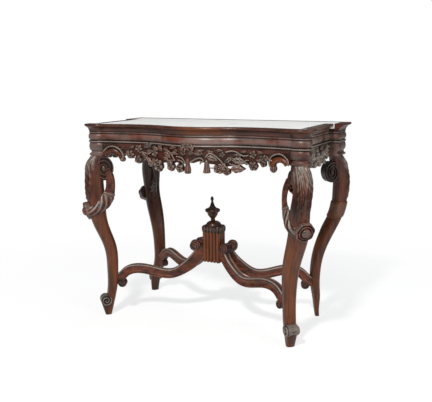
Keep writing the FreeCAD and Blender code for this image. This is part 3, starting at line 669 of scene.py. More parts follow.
HABITS: Mapping[Corner, Habit] = {
    Corner.FRONT_LEFT: Habit(
        ((0, 8, 0, 1.0), (100, 5, 0, 1.05), (200, 4, 0, 1.05), (300, -1, 0, 1.04), (400, -2, 0, 1.0),
         (480, -13, 0, 1.04), (560, -20, 0, 1.02), (610, -12, 0, 1.0), (645, -1, 0, 0.98),
         (679, -4, 0, 0.80)),
        (13.0, 627.0), (45.0, 55.0, 36.0), rosette_out=77.0, arm_rise=-3.0, root_depth=0.6),
    Corner.FRONT_RIGHT: Habit(
        ((0, 0, -7, 1.0), (60, 0, -4, 1.05), (140, 0, 0, 1.0), (250, 0, 0, 1.06), (350, 0, -1, 1.07),
         (440, 0, -1, 1.03), (495, 0, -6, 0.99), (550, 0, -5, 0.96), (600, 0, 3, 0.98), (655, 0, 4, 1.0),
         (679, 0, 4, 0.86)),
        (21.0, 620.0), (37.0, 48.0, 30.0), arm_rise=7.0, root_depth=0.0),
    Corner.BACK_LEFT: Habit(
        ((0, 0, -6, 1.0), (66, 0, -8, 1.0), (146, 0, -23, 1.0), (200, 0, -25, 1.0), (272, 0, -25, 1.0),
         (340, 0, -24, 1.05), (400, 0, -21, 1.05), (460, 0, -18, 1.0), (509, 0, -19, 1.08),
         (546, 0, -20, 1.2), (620, 0, -20, 1.2), (655, 0, -20, 1.14), (679, 0, -19, 0.95)),
        (16.0, 620.0), (37.0, 48.0, 28.0), branch_side=14.0, arm_rise=4.0),
    Corner.BACK_RIGHT: Habit(
        ((0, -16, 0, 0.60), (30, -15, 0, 0.64), (80, -9, 0, 0.80), (130, -7, 0, 0.88), (232, -3, 0, 0.90),
         (284, 2, 0, 0.92), (335, 7, 0, 0.93), (387, 13, 0, 0.92), (440, 22, 0, 0.81), (540, 17, 0, 0.85),
         (590, 18, 0, 0.88), (620, 19, 0, 0.93), (650, 22, 0, 0.96), (679, 17, 0, 0.84)),
        (9.0, 607.0), (34.0, 46.0, 26.0), arm_rise=-2.0),
}


@dataclass
class Leg:
    """Cabriole leg with a volute; on three corners a foot scroll, a scroll branch and a rosette, and on the
    fourth a bare seat round the knee.
    """

    corner: Corner
    finishes: Finishes
    place_x: float = 409.0
    place_y: float = 177.0
    height: float = 679.0
    knee: float = 62.0
    ankle: float = 21.0
    depth: float = 70.0
    width: float = 66.0
    lean: float = 4.0
    foot_at: Point = (12.5, 66.0)
    foot_radius: float = 24.0
    foot_half: float = 27.0
    foot_side: float = -4.0
    foot_turns: float = 1.6
    foot_start: float = math.pi * 0.8
    # Crest share of the foot scroll's ribbon: dust and painted highlight.
    foot_dust_and_highlight: float = 0.80
    tip_half: Point = (13.0, 16.0)
    tip_lift: float = 0.5
    leaf_top: float = 0.995
    leaf_length: float = 0.27
    leaf_base: float = 1.2
    leaf_rise: float = 4.0
    groove_places: Triple = (-0.42, 0.06, 0.48)
    groove_depth: float = 1.3
    volute_turns: float = 2.6
    volute_start: float = math.radians(30.0)
    # Crest share of the knee volute's ribbon, below 0: painted shade under the top.
    volute_shade: float = -0.75
    rosette_radius: float = 36.5
    rosette_side: float = 4.0
    rosette_height: float = 452.0
    rosette_tilt: float = 17.0
    seat_span: Point = (419.0, 486.0)
    seat_proud: float = 4.0
    dowel_at: Point = (22.3, 13.1)
    dowel_radius: float = 9.0
    dowel_half: float = 32.0
    stations: tuple[tuple[float, float, float, float, float], ...] = (
        (1.00, 0.46, 0.76, 1.03, 1.00), (0.94, 0.70, 0.89, 1.00, 1.00), (0.88, 0.92, 0.97, 0.97, 1.00),
        (0.82, 1.00, 1.00, 0.97, 1.00), (0.76, 0.94, 1.00, 1.00, 0.90), (0.68, 0.76, 0.96, 1.03, 0.60),
        (0.60, 0.51, 0.90, 1.00, 0.20), (0.52, 0.18, 0.81, 0.93, -0.20), (0.44, -0.38, 0.71, 0.86, -0.60),
        (0.36, -0.86, 0.64, 0.80, -0.90), (0.28, -1.00, 0.60, 0.76, -1.00), (0.19, -0.90, 0.54, 0.73, -0.80),
        (0.13, -0.62, 0.50, 0.69, -0.50), (0.00, 0.00, 0.375, 0.485, 0.00),
    )
    branch_line: tuple[tuple[float, float, float, float, float], ...] = (
        (-6.0, -18.0, 626.0, 13.0, 7.0), (-16.0, -25.0, 590.0, 18.0, 8.0), (-17.0, -29.0, 556.0, 19.0, 6.0),
        (-9.0, -28.0, 519.0, 23.0, 8.5), (8.0, -27.0, 489.0, 25.0, 13.0), (34.0, -28.0, 466.0, 20.0, 17.0),
        (64.0, -22.0, 453.0, 18.0, 17.0), (84.0, -10.0, 450.0, 13.0, 13.0),
    )

    rosette_line: tuple[Point, ...] = (
        (0.90, -30.0), (0.98, -6.0), (1.00, 2.0), (0.95, 7.0), (0.87, 8.0), (0.80, 2.5), (0.76, 3.0),
        (0.71, 9.0), (0.64, 10.5), (0.57, 5.5), (0.53, 5.0), (0.47, 11.0), (0.38, 16.5), (0.22, 20.0),
        (0.00274, 21.0),
    )

    @property
    def plain_knee(self) -> bool:
        """Whether this leg's knee is bare."""
        return self.corner is Corner.BACK_RIGHT

    @property
    def habit(self) -> Habit:
        """What sets this leg apart."""
        return HABITS[self.corner]

    def place(self, points: Array) -> Array:
        """Points as (outward, sideways, height) about the leg, turned to the corner's diagonal."""
        out, side, height = points.T
        half = math.sqrt(0.5)
        return self.corner.mirror(stack(self.place_x + (out + side) * half,
                                        -self.place_y + (side - out) * half, height))

    def sections(self, share: Array, proud: float) -> tuple[Array, Array, Array]:
        """Rings of the shaft at shares of its height, grown by proud.

        Args:
            share: Shares of the leg's height.
            proud: How far the rings stand out from the leg.

        Returns:
            Rounded-square rings as (outward, sideways) about the ring's middle, the middle's swing and lean.
        """
        table = np.array(self.stations)[::-1]
        swing, depth, width, lean = spline(table[:, 0], table[:, 1:] * self._reach(table), share).T
        out, side, slim = self.habit.at(share * self.height)
        ring = oval(depth * slim / 2 + proud, width * slim / 2 + proud, 88, 3.0)
        return ring, swing + out, lean + side

    def shaft(self) -> Surface:
        """Rounded-square section whose swing, depth, width and lean are splines of the height.

        A leaf stands on the outward face from the top down the knee. Its height is a row of upright
        feathered ridges that fan out, with a ragged lower end. Three fine grooves run down the shank.
        """
        share = np.linspace(0.0, 1.0, 300)
        ring, swing, lean = self.sections(share, 0.0)
        far, wide = ring[..., 0].max(axis=1), ring[..., 1].max(axis=1)
        across = ring[..., 1] / wide[:, None]
        facing = ease(ring[..., 0] / far[:, None], -0.05, 0.5)
        down = ((self.leaf_top - share) / self.leaf_length)[:, None]
        tip = 1.0 - 0.20 * wave(4 * np.pi * across + 1.0)
        mask = ease(down, tip, tip - 0.07) * facing
        fan = 4.6 * across + 0.30 * np.sin(9.0 * down + 3.0 * across)
        feather = wave(2 * np.pi * (6.5 * down - 1.8 * np.abs(across)))
        blade = wave(2 * np.pi * fan) ** 0.7 * (0.55 + 0.45 * feather)
        line = sum(bell(across, place, 0.06) for place in self.groove_places)
        groove = line * facing * (ease(share, 0.62, 0.56) * ease(share, 0.13, 0.2))[:, None]
        ring[..., 0] += mask * (self.leaf_base + self.leaf_rise * blade) - self.groove_depth * groove
        rings = stacked(ring, swing, lean, share * self.height)
        # The leaf's upper part and its ridges are paled with dust and painted highlight; the furrows between
        # the ridges and the grooves are darkened with painted shade.
        pale = ease(down, 0.55, 0.08)
        crest = mask * (pale * (0.35 + 1.1 * blade) + 0.30 * blade - 0.75 * (1 - blade) * (1 - 0.5 * pale))
        crest = crest - 0.8 * groove
        warm = (0.15 + 0.50 * ease(share, 0.85, 0.50)[:, None]) * np.ones_like(crest)
        return closed(rings, np.clip(crest, -1.0, 1.0), warm)

    def seat(self) -> Surface:
        """Bare band round the knee: the shaft's own rings grown a little, with rounded edges."""
        share = np.linspace(*self.seat_span, 24) / self.height
        ring, swing, lean = self.sections(share, self.seat_proud)
        from_middle = np.abs(np.linspace(-1.0, 1.0, 24))[:, None]
        ring = ring * (1.0 - 0.12 * from_middle ** 12)[..., None]
        rings = stacked(ring, swing, lean, share * self.height)
        # The band's upper and lower edges are darkened with painted shade where it meets the leg; its middle
        # is paled a little with dust and painted highlight.
        return closed(rings, 0.25 - 0.9 * from_middle ** 6 * np.ones(ring.shape[1]), 0.8)

    def dowel(self) -> Surface:
        """Round peg from the leg's top up into the corner block, led with the leg."""
        out, side = self.habit.shift(self.height)
        middle = np.array([self.dowel_at[0] + out, self.dowel_at[1] + side, self.height])
        return closed(drum(self.dowel_radius, self.dowel_half, 24) + middle, 0.0).bent(self.place)

    def _reach(self, table: Array) -> Array:
        """Size of each station's shares: knee or ankle swing, depth, width and lean."""
        swing = np.where(table[:, 1] > 0, self.knee, self.ankle)
        rest = np.broadcast_to([self.depth, self.width, self.lean], (len(table), 3))
        return np.column_stack([swing, rest])

    def roll(self, at: Point, side: float, size: Triple, turns: float, start: float, ribbon_crest: float) -> Surface:
        """Volute: a ribbon carried along a falling spiral, over a disc that fills it, with a domed eye.

        Args:
            at: Swing and height of the eye.
            side: Step to the side of the volute's middle.
            size: Half width across the swing, half height, and half length along the axis.
            turns: Turns of the spiral.
            start: Angle where the spiral starts.
            ribbon_crest: Crest share of the ribbon's broad side, painted shade below 0 and dust with painted
                highlight above 0.

        Returns:
            The closed surfaces of ribbon, disc and eye.
        """
        radius, rise, half = size
        tall = rise / radius
        flat = spiral((0.0, 0.0), radius * 0.92, radius * 0.20, turns, start, 120)
        path = stack(at[0] + flat[:, 0], side, at[1] + flat[:, 1] * tall)
        taper = np.linspace(radius * 0.075, radius * 0.06, len(path))
        ring = oval(half, taper, 28, 3.5)
        outward = path - np.array([at[0], side, at[1]])
        ridge = np.abs(ring[..., 0]) / half
        ribbon = carry(path, ring, outward, ridge ** 8 + ribbon_crest, 0.15)
        disc = turned(((0.1, -half * 0.70), (radius * 0.86, -half * 0.74), (radius * 0.90, -half * 0.74),
                       (radius * 0.90, half * 0.74), (radius * 0.86, half * 0.74), (0.1, half * 0.70)),
                      64, smooth=False)
        # The disc's faces inside the spiral take painted shade; its edge takes the ribbon's share.
        rim = np.array([-1.0, -1.0, ribbon_crest, ribbon_crest, -1.0, -1.0])[:, None] * np.ones(64)
        eye = turned(((0.1, -half * 1.03), (radius * 0.12, -half), (radius * 0.22, -half * 0.85),
                      (radius * 0.22, half * 0.85), (radius * 0.12, half), (0.1, half * 1.03)),
                     24, smooth=False)

        def lay(points: Array) -> Array:
            """Lays the disc's axis across the leg."""
            return stack(at[0] + points[:, 0], side + points[:, 2], at[1] + points[:, 1] * tall)

        return Surface.joined([ribbon, closed(disc, rim).bent(lay), closed(eye, 0.2).bent(lay)])

    def peg(self) -> Surface:
        """Block from the foot scroll's middle to the floor: rounded-square rings that narrow evenly."""
        count = 12
        (low_out, low_side), (out, side) = (self.habit.shift(height) for height in (0.0, self.foot_at[1]))
        ring = oval(np.linspace(self.tip_half[0], self.foot_radius * 0.94, count),
                    np.linspace(self.tip_half[1], self.foot_half * 0.80, count), 40, 3.0)
        rings = stacked(ring, np.linspace(low_out, self.foot_at[0] + out, count),
                        np.linspace(low_side, self.foot_side + side, count),
                        np.linspace(self.tip_lift, self.tip_lift + self.foot_at[1], count))
        return closed(rings, -0.35, 0.45)

    def branch(self) -> Surface:
        """Strap from the volute that swells to a leaf-wrapped horn, with a collar between the two.

        The half depth and half width are the line's own; on the horn, ridges slope round it and along it,
        and the collar is a narrow bump.
        """
        line = line_through(self.branch_line, 190)
        line[:, 1] += self.habit.branch_side
        share = np.linspace(0.0, 1.0, len(line))[:, None]
        turn = around(48)
        wrap = ease(share, 0.46, 0.56) * ease(share, 1.0, 0.92)
        collar = bell(share, 0.45, 0.018) + 0.7 * bell(share, 0.50, 0.014)
        barb = wave(6 * turn + 12 * np.pi * share) ** 0.7
        swell = 1.0 + 0.12 * collar + wrap * (0.16 * barb - 0.04)
        ring = stack(np.cos(turn) * line[:, 3:4] * swell, np.sin(turn) * line[:, 4:5] * swell)
        # The horn's upper side takes more of the pale crest, dust and painted highlight; the furrows between
        # its barbs are darkened with painted shade.
        above = 0.35 + 0.65 * np.clip(-np.cos(turn), 0.0, 1.0)
        crest = np.clip(0.5 * collar + wrap * (1.5 * barb * above - 0.9 * (1 - barb)), -1.0, 1.0)
        return carry(line[:, :3], ring, (0.0, -1.0, 0.0), crest, 0.10)

    def rosette(self) -> Surface:
        """Rolled end turned about the knee's outward axis: two grooved rings and a domed boss."""
        size = self.rosette_radius
        rings = turned([(size * share, high) for share, high in self.rosette_line], 56, 90)
        rim = np.hypot(rings[..., 0], rings[..., 1]) / size
        turn = np.arctan2(rings[..., 1], rings[..., 0])
        petal = 1.0 + 0.04 * np.cos(7 * turn) * ease(rim, 0.7, 0.95)
        rings = rings * stack(petal, petal, 1.0)
        # The two grooves are darkened with painted shade; the rest is paled a little with dust and painted
        # highlight.
        groove = bell(rim, 0.78, 0.05) + bell(rim, 0.55, 0.05)
        crest = np.clip(0.22 - 1.3 * groove, -1.0, 0.4)
        tilt = math.radians(90 + self.rosette_tilt)

        def seat(points: Array) -> Array:
            """Turns the axis outward and a little down, and sets it on the knee's face."""
            across, side, high = points.T
            out = self.habit.rosette_out + across * math.cos(tilt) + high * math.sin(tilt)
            up = self.rosette_height - across * math.sin(tilt) + high * math.cos(tilt)
            return stack(out, self.rosette_side + side, up)

        return closed(rings, crest).bent(seat)

    def build(self) -> None:
        """Makes the leg and what it carries, and dresses them."""
        label = self.corner.label
        across, level = self.habit.volute_at
        out, side = self.habit.shift(level)
        parts = [self.shaft(), self.roll((across + out, level), self.lean + side, self.habit.volute_size,
                                         self.volute_turns, self.volute_start, self.volute_shade)]
        if not self.plain_knee:
            across, level = self.foot_at
            out, side = self.habit.shift(level)
            size = (self.foot_radius, self.foot_radius, self.foot_half)
            parts += [self.roll((across + out, level), self.foot_side + side, size, self.foot_turns,
                                self.foot_start, self.foot_dust_and_highlight), self.peg()]
        # The back left leg stands in the top's shadow, so it and its carving take the darker copy of the
        # wood: painted shade.
        shaded = self.corner is Corner.BACK_LEFT
        wood = self.finishes.shaded_wood if shaded else self.finishes.upright_wood
        put_piece(f"leg_shaft_{label}", Surface.joined(parts).bent(self.place), wood, (f"leg_{label}",))
        if self.plain_knee:
            put_piece(f"bare_seat_{label}", self.seat().bent(self.place), wood, (f"knee_seat_{label}",))
            return
        carved = self.finishes.shaded_wood if shaded else self.finishes.carved
        put_piece(f"branch_{label}", self.branch().bent(self.place), carved, (f"scroll_branch_{label}",))
        put_piece(f"knee_rosette_{label}", self.rosette().bent(self.place), carved, (f"rosette_{label}",))


@dataclass
class Serpentine:
    """Line of the table's front seen from above: a swell in the middle and a hollow on each side."""

    bulge_y: float = -225.0
    hollow_y: float = -172.0
    hollow_x: float = 230.0
    swing_radius: float = 262.8
    outer_radius: float = 830.8

    def depth(self, x: Array) -> Array:
        """Y of the front at X, by three arcs that meet smoothly."""
        away = np.abs(x)
        swell = self.bulge_y + self.swing_radius - np.sqrt(
            self.swing_radius ** 2 - np.minimum(away, self.hollow_x / 2) ** 2)
        into = np.clip(away - self.hollow_x, -self.hollow_x / 2, 0.0)
        hollow = self.hollow_y - self.swing_radius + np.sqrt(self.swing_radius ** 2 - into ** 2)
        past = np.maximum(away - self.hollow_x, 0.0)
        outer = self.hollow_y - self.outer_radius + np.sqrt(self.outer_radius ** 2 - past ** 2)
        inner = np.where(away < self.hollow_x / 2, swell, hollow)
        return np.where(away < self.hollow_x, inner, outer)


@dataclass(frozen=True)
class Flower:
    """Open flower on a panel: place, radius, how far it stands out, and its petals."""

    along: float
    high: float
    radius: float
    stand: float = 9.0
    petals: int = 5
    twist: float = 0.0

    def surface(self) -> Surface:
        """Polar grid: the edge swells with each petal, and the height is a boss and two cupped rings."""
        rise = np.linspace(0.0, 1.0, 16)[:, None]
        turn = around(self.petals * 9)[None, :]
        outer = np.abs(np.cos(self.petals * (turn + self.twist) / 2)) ** 0.7
        inner = np.abs(np.sin(self.petals * (turn + self.twist) / 2)) ** 0.7
        cup = bell(rise, 0.80, 0.17) * (0.45 + 0.45 * outer)
        ring = bell(rise, 0.46, 0.13) * (0.45 + 0.30 * inner)
        boss = 0.95 * bell(rise, 0.0, 0.22)
        tall = self.stand * np.maximum(np.maximum(cup, ring), boss)
        reach = self.radius * rise * (0.84 + 0.16 * outer * ease(rise, 0.4, 1.0))
        top = stack(self.along + reach * np.cos(turn), self.high + reach * np.sin(turn), tall)
        foot = top[-1:].copy()
        foot[..., 2] = SUNK
        # Gaps between the petals, a ring round the boss and the outer rim are darkened with painted shade;
        # the rest is paled with dust and painted highlight.
        gap = (1 - outer) * ease(rise, 0.45, 0.75) + bell(rise, 0.30, 0.10)
        crest = np.clip(0.85 - 1.7 * gap - 0.8 * ease(rise, 0.90, 1.0), -1.0, 0.85)
        return closed(np.concatenate([top, foot]), np.concatenate([crest, crest[-1:]]))


@dataclass(frozen=True)
class Leaf:
    """Pointed leaf on a panel, from its stalk to its tip."""

    stalk: Point
    tip: Point
    half_width: float
    bow: float = 0.0
    stand: float = 9.0
    lobes: float = 3.0

    def surface(self) -> Surface:
        """Blade carried from stalk to tip: rounded across, sunk along its rib, ridged to a notched edge."""
        share = np.linspace(0.0, 1.0, 34)
        start, end = np.array(self.stalk), np.array(self.tip)
        ahead = end - start
        square = np.array([-ahead[1], ahead[0]]) / np.linalg.norm(ahead)
        flat = start + share[:, None] * ahead + np.sin(np.pi * share)[:, None] * self.bow * square
        path = stack(*flat.T, 0.0)
        turn = around(28)[None, :]
        across = np.cos(turn)
        along = share[:, None]
        full = np.sin(np.pi * np.clip(along, 0.015, 0.985) ** 0.75) ** 0.75
        notch = 1.0 - 0.20 * np.abs(np.sin(np.pi * self.lobes * along)) ** 3
        rib = bell(across, 0.0, 0.14)
        vein = np.cos(2 * np.pi * (self.lobes * along - 0.9 * np.abs(across)))
        front = self.stand * full ** 0.4 * (1.0 - 0.5 * across ** 2 - 0.35 * rib + 0.07 * vein)
        facing = np.sin(turn) >= -1e-9
        height = np.where(facing, front, SUNK)
        ring = stack(self.half_width * full * notch * across, height)
        # The blade is paled with dust and painted highlight; its rib, its very edges and its back are
        # darkened with painted shade.
        worn = np.clip(0.50 - 1.2 * rib + 0.25 * vein - 1.4 * np.abs(across) ** 8, -1.0, 0.8)
        crest = np.where(facing, worn, -0.8)
        return carry(path, ring, (0.0, 0.0, 1.0), crest, 0.15)


@dataclass(frozen=True)
class Vine:
    """Round stem along a line of points on a panel, from one radius to another."""

    line: tuple[Point, ...]
    start_radius: float
    end_radius: float
    lift: float = 2.0
    warm: float = 0.0

    def surface(self) -> Surface:
        """Oval section carried along the spline through the points, paled on its front with dust and painted
        highlight and darkened on its sides and back with painted shade.
        """
        flat = line_through(self.line, 12 * len(self.line))
        path = stack(*flat.T, self.lift)
        radius = np.linspace(self.start_radius, self.end_radius, len(path))
        ring = oval(radius, radius * 1.15, 14)
        front = ring[..., 1] / ring[..., 1].max(axis=1, keepdims=True)
        crest = np.clip(2.2 * front - 1.5, -0.6, 0.8 - 1.5 * self.warm)
        return carry(path, ring, (0.0, 0.0, 1.0), crest, self.warm)


@dataclass(frozen=True)
class Cup:
    """Vase or bell that hangs upright on a panel: radii and heights down its middle line."""

    along: float
    profile: tuple[Point, ...]
    out: float = -2.0

    def surface(self) -> Surface:
        """Turned shape about an upright line just behind the panel's face, with fine flutes."""
        rings = turned(self.profile, 32, 40)
        turn = np.arctan2(rings[..., 1], rings[..., 0])
        flute = 1.0 + 0.05 * np.cos(10 * turn)
        points = stack(self.along + rings[..., 0] * flute, rings[..., 2], self.out + rings[..., 1] * flute)
        # Flute ridges are paled with dust and painted highlight, flute hollows darkened with painted shade.
        return closed(points, 0.1 + 0.5 * np.cos(10 * turn))


@dataclass(frozen=True)
class Ground:
    """Board behind the carving, from the bead down to its own lower edge."""

    top: float
    edge: tuple[Point, ...]
    back: float = -13.0
    pitch: float = 11.0
    cut: float = 1.6
    drop: float = 3.0

    def surface(self) -> Surface:
        """Ring from top to lower edge, front and back, carried along the panel.

        The front is cut with a diaper of crossed slanting grooves, each a narrow bell in the distance
        to the nearest line.
        """
        given = np.array(self.edge)
        along = np.linspace(given[0, 0], given[-1, 0], 520)[:, None]
        low = np.interp(along, given[:, 0], given[:, 1])
        share = np.concatenate([[0.0], np.linspace(0.0, 1.0, 34), [1.0]])
        high = self.top + (low - self.top) * share
        lines = ((along + high) / self.pitch, (along - high) / self.pitch)
        away = [np.abs((line + 0.5) % 1.0 - 0.5) for line in lines]
        groove = bell(np.minimum(*away), 0.0, 0.13)
        out = -self.cut * groove - self.drop * ease(share, 0.93, 1.0)
        out[:, [0, -1]] = self.back
        rings = stack(along, high, out)
        # The ground is darkened throughout with painted shade behind the motifs, and more in its grooves.
        return closed(rings, -0.35 - 0.60 * groove, 0.2)


Motif = Flower | Leaf | Vine | Cup | Ground


@dataclass
class CarvedSkirts:
    """Pierced carving under the bead, on the front and on both ends."""

    finishes: Finishes
    front: Serpentine = field(default_factory=Serpentine)
    end_x: float = 443.0
    bead: float = 730.0

    def front_motifs(self) -> list[Motif]:
        """Scrolls at both ends, vines between them, and flowers, leaves and hanging bells along them."""
        ground = Ground(self.bead, (
            (-401, 700), (-372, 704), (-340, 704), (-312, 690), (-285, 673), (-262, 681), (-240, 678),
            (-212, 678), (-190, 664), (-160, 668), (-128, 660), (-93, 668), (-67, 662), (-45, 672),
            (-25, 664), (-4, 678), (26, 671), (46, 678), (60, 679), (72, 672), (102, 668), (150, 660),
            (190, 664), (221, 675), (250, 678), (285, 684), (312, 690), (345, 704), (375, 696),
            (390, 682), (401, 674),
        ))
        flowers = [Flower(*row) for row in (
            (-281, 687, 18, 11, 6), (-241, 713, 16, 10, 5, 0.3), (-245, 668, 17, 13, 5),
            (-161, 699, 16, 11, 5), (-142, 652, 26, 16, 6, 0.2), (-72, 655, 20, 13, 5),
            (-28, 651, 18, 13, 5, 0.6), (-184, 655, 13, 10, 5, 0.3), (-191, 724, 11, 8, 5),
            (-130, 721, 12, 9, 5, 0.4), (-94, 717, 9, 8, 5), (5, 733, 16, 12, 6),
            (-10, 710, 11, 10, 5, 0.5), (22, 712, 10, 10, 5, 0.2), (123, 653, 20, 13, 5),
            (149, 641, 14, 12, 5, 0.4), (134, 705, 10, 9, 5), (251, 708, 15, 11, 5),
            (251, 666, 18, 14, 6), (291, 695, 16, 12, 5, 0.2), (291, 676, 13, 10, 5, 0.6),
            (-47, 715, 8, 8, 5), (58, 710, 8, 8, 5, 0.3), (-377, 691, 5, 7, 4), (-359, 687, 6, 7, 4),
            (-341, 683, 6, 7, 4), (-328, 673, 5, 7, 4),
        )]
        leaves = [Leaf((x, z), (tip_x, tip_z), half, bow, 11) for x, z, tip_x, tip_z, half, bow in (
            (-204, 699, -169, 705, 8, 3), (-216, 718, -174, 731, 10, 3), (-172, 722, -140, 708, 9, 3),
            (-116, 710, -147, 727, 8, -3), (-104, 704, -71, 685, 12, 4), (-110, 684, -79, 675, 8, 3),
            (-201, 679, -178, 642, 11, 4), (-158, 677, -183, 646, 9, -3), (-201, 688, -217, 666, 8, 3),
            (-93, 666, -49, 679, 7, 3), (-20, 717, -4, 746, 9, 3), (29, 719, 16, 746, 9, -3),
            (83, 697, 121, 682, 13, 2), (144, 676, 127, 645, 9, 3), (165, 651, 218, 653, 16, 1),
            (215, 684, 166, 690, 16, 3), (168, 697, 141, 676, 10, 3), (106, 714, 81, 722, 6, 2),
            (175, 705, 207, 699, 6, 2), (233, 672, 213, 683, 6, 2), (265, 690, 278, 677, 7, 2),
            (269, 717, 290, 713, 7, 2), (305, 707, 311, 683, 7, 2), (-225, 695, -207, 677, 8, 2),
            (-294, 703, -289, 674, 8, 2), (44, 713, 72, 722, 6, 2), (33, 709, 56, 701, 6, 2),
            (-72, 724, -42, 728, 6, 2), (116, 721, 139, 718, 6, 2), (225, 720, 201, 717, 6, 2),
            (-260, 722, -283, 715, 7, 2), (-70, 705, -31, 703, 6, 2),
        )]
        vines = [Vine(*row) for row in (
            (((-395, 697), (-373, 715), (-352, 718), (-330, 709), (-315, 695), (-310, 676),
              (-317, 665)), 4.5, 4.9, 7.0),
            (((-392, 686), (-372, 698), (-352, 700), (-336, 692), (-326, 679), (-322, 669)),
              12.0, 9.0, 1.0, 0.9),
            (((-105, 720), (-77, 711), (-56, 691), (-48, 679)), 3.5, 3.1, 5.0),
            (((-235, 696), (-218, 699), (-199, 693), (-178, 701)), 3.2, 3.2, 4.0),
            (((20, 676), (40, 688), (62, 691), (69, 684), (63, 677), (57, 681)), 4.5, 2.6, 3.0),
            (((61, 680), (58, 675), (56, 669)), 3.4, 1.9, 2.0),
            (((80, 696), (93, 710), (108, 705), (124, 691), (141, 670), (155, 654)), 3.7, 3.3, 6.0),
            (((149, 715), (177, 719), (193, 713), (209, 704), (235, 705)), 3.7, 3.3, 6.0),
            (((161, 673), (182, 666), (204, 671), (221, 685), (235, 687)), 3.0, 3.0, 5.0),
            (((-41, 695), (-22, 693), (-7, 682), (-1, 669)), 3.4, 3.0, 5.0),
            (((-34, 682), (-18, 678), (-7, 666)), 3.0, 2.7, 4.0),
            (((90, 655), (100, 655), (110, 653)), 2.2, 2.2, 0.0),
            (((330, 663), (318, 677), (319, 692), (327, 706), (342, 714), (363, 716), (382, 706),
              (394, 690), (393, 677)), 4.3, 4.0, 7.0),
            (((331, 672), (333, 683), (343, 692), (357, 696), (372, 693), (383, 685), (388, 677)),
              12.5, 11.0, 1.0, 0.7),
        )]
        hanging = [
            Cup(5, ((3, 690), (7, 684), (8, 672), (9.5, 660), (12, 650), (12, 640), (11, 633), (4, 631))),
            Cup(79, ((3, 684), (7, 676), (9, 662), (10.5, 650), (12, 642), (11.5, 637), (4, 635))),
            Cup(9, ((2, 750), (7, 746), (8, 739), (6, 732), (4, 726)), 2.0),
            Cup(-317, ((1, 678), (8, 675), (11, 668), (10, 661), (5, 657), (1, 656)), 0.0),
            Cup(332, ((1, 676), (10, 672), (14, 663), (12, 654), (6, 648), (1, 646)), 0.0),
        ]
        return [ground, *flowers, *leaves, *vines, *hanging]

    def end_motifs(self) -> list[Motif]:
        """Shorter carving of an end: a middle flower, side flowers, leaves and two vines."""
        ground = Ground(self.bead, ((-163, 690), (-130, 672), (-96, 660), (-48, 676), (-20, 658), (20, 676),
                                    (60, 658), (96, 672), (123, 686)))
        flowers = [Flower(-20, 690, 20, 11, 6), Flower(34, 695, 17, 10, 5), Flower(-78, 696, 17, 10, 5, 0.4),
                   Flower(-130, 706, 13, 9, 5), Flower(92, 704, 14, 9, 5), Flower(60, 668, 12, 9, 5),
                   Flower(-98, 670, 12, 9, 5)]
        leaves = [Leaf((-34, 676), (-64, 656), 11, 3), Leaf((-6, 676), (22, 654), 11, -3),
                  Leaf((-110, 690), (-146, 680), 9, 3), Leaf((76, 690), (112, 680), 9, 3),
                  Leaf((-44, 716), (-16, 712), 8, 3), Leaf((4, 718), (30, 720), 8, 3),
                  Leaf((50, 700), (78, 688), 10, 3)]
        vines = [Vine(((-158, 716), (-130, 722), (-104, 712), (-84, 694), (-60, 686), (-36, 692)), 5.0, 4.0),
                 Vine(((118, 716), (94, 722), (70, 712), (50, 696), (20, 690), (0, 692)), 5.0, 4.0),
                 Vine(((-154, 690), (-138, 684), (-126, 672)), 6.0, 4.0, 2.0, 0.6),
                 Vine(((114, 690), (104, 684), (92, 672)), 6.0, 4.0, 2.0, 0.6)]
        return [ground, *flowers, *leaves, *vines]

    def build(self) -> None:
        """Lays the motifs on the front's curve and on the flat ends."""

        def on_front(points: Array) -> Array:
            """Panel place to the front: along X, up Z, and out towards the viewer from the curve."""
            along, high, out = points.T
            return stack(along, self.front.depth(along) - out, high)

        carving = Surface.joined([motif.surface() for motif in self.front_motifs()])
        put_piece("carving_front", carving.bent(on_front), self.finishes.carved, ("carved_skirt_front",),
                  CARVED_EDGE)
        carving = Surface.joined([motif.surface() for motif in self.end_motifs()])
        for name, side in (("left", -1), ("right", 1)):

            def on_end(points: Array, side: int = side) -> Array:
                """Panel place to an end: along Y, up Z, and out along X."""
                along, high, out = points.T
                return stack(side * (self.end_x + out), along, high)

            put_piece(f"carving_{name}", carving.bent(on_end), self.finishes.end_carved,
                      (f"carved_skirt_{name}",), CARVED_EDGE)


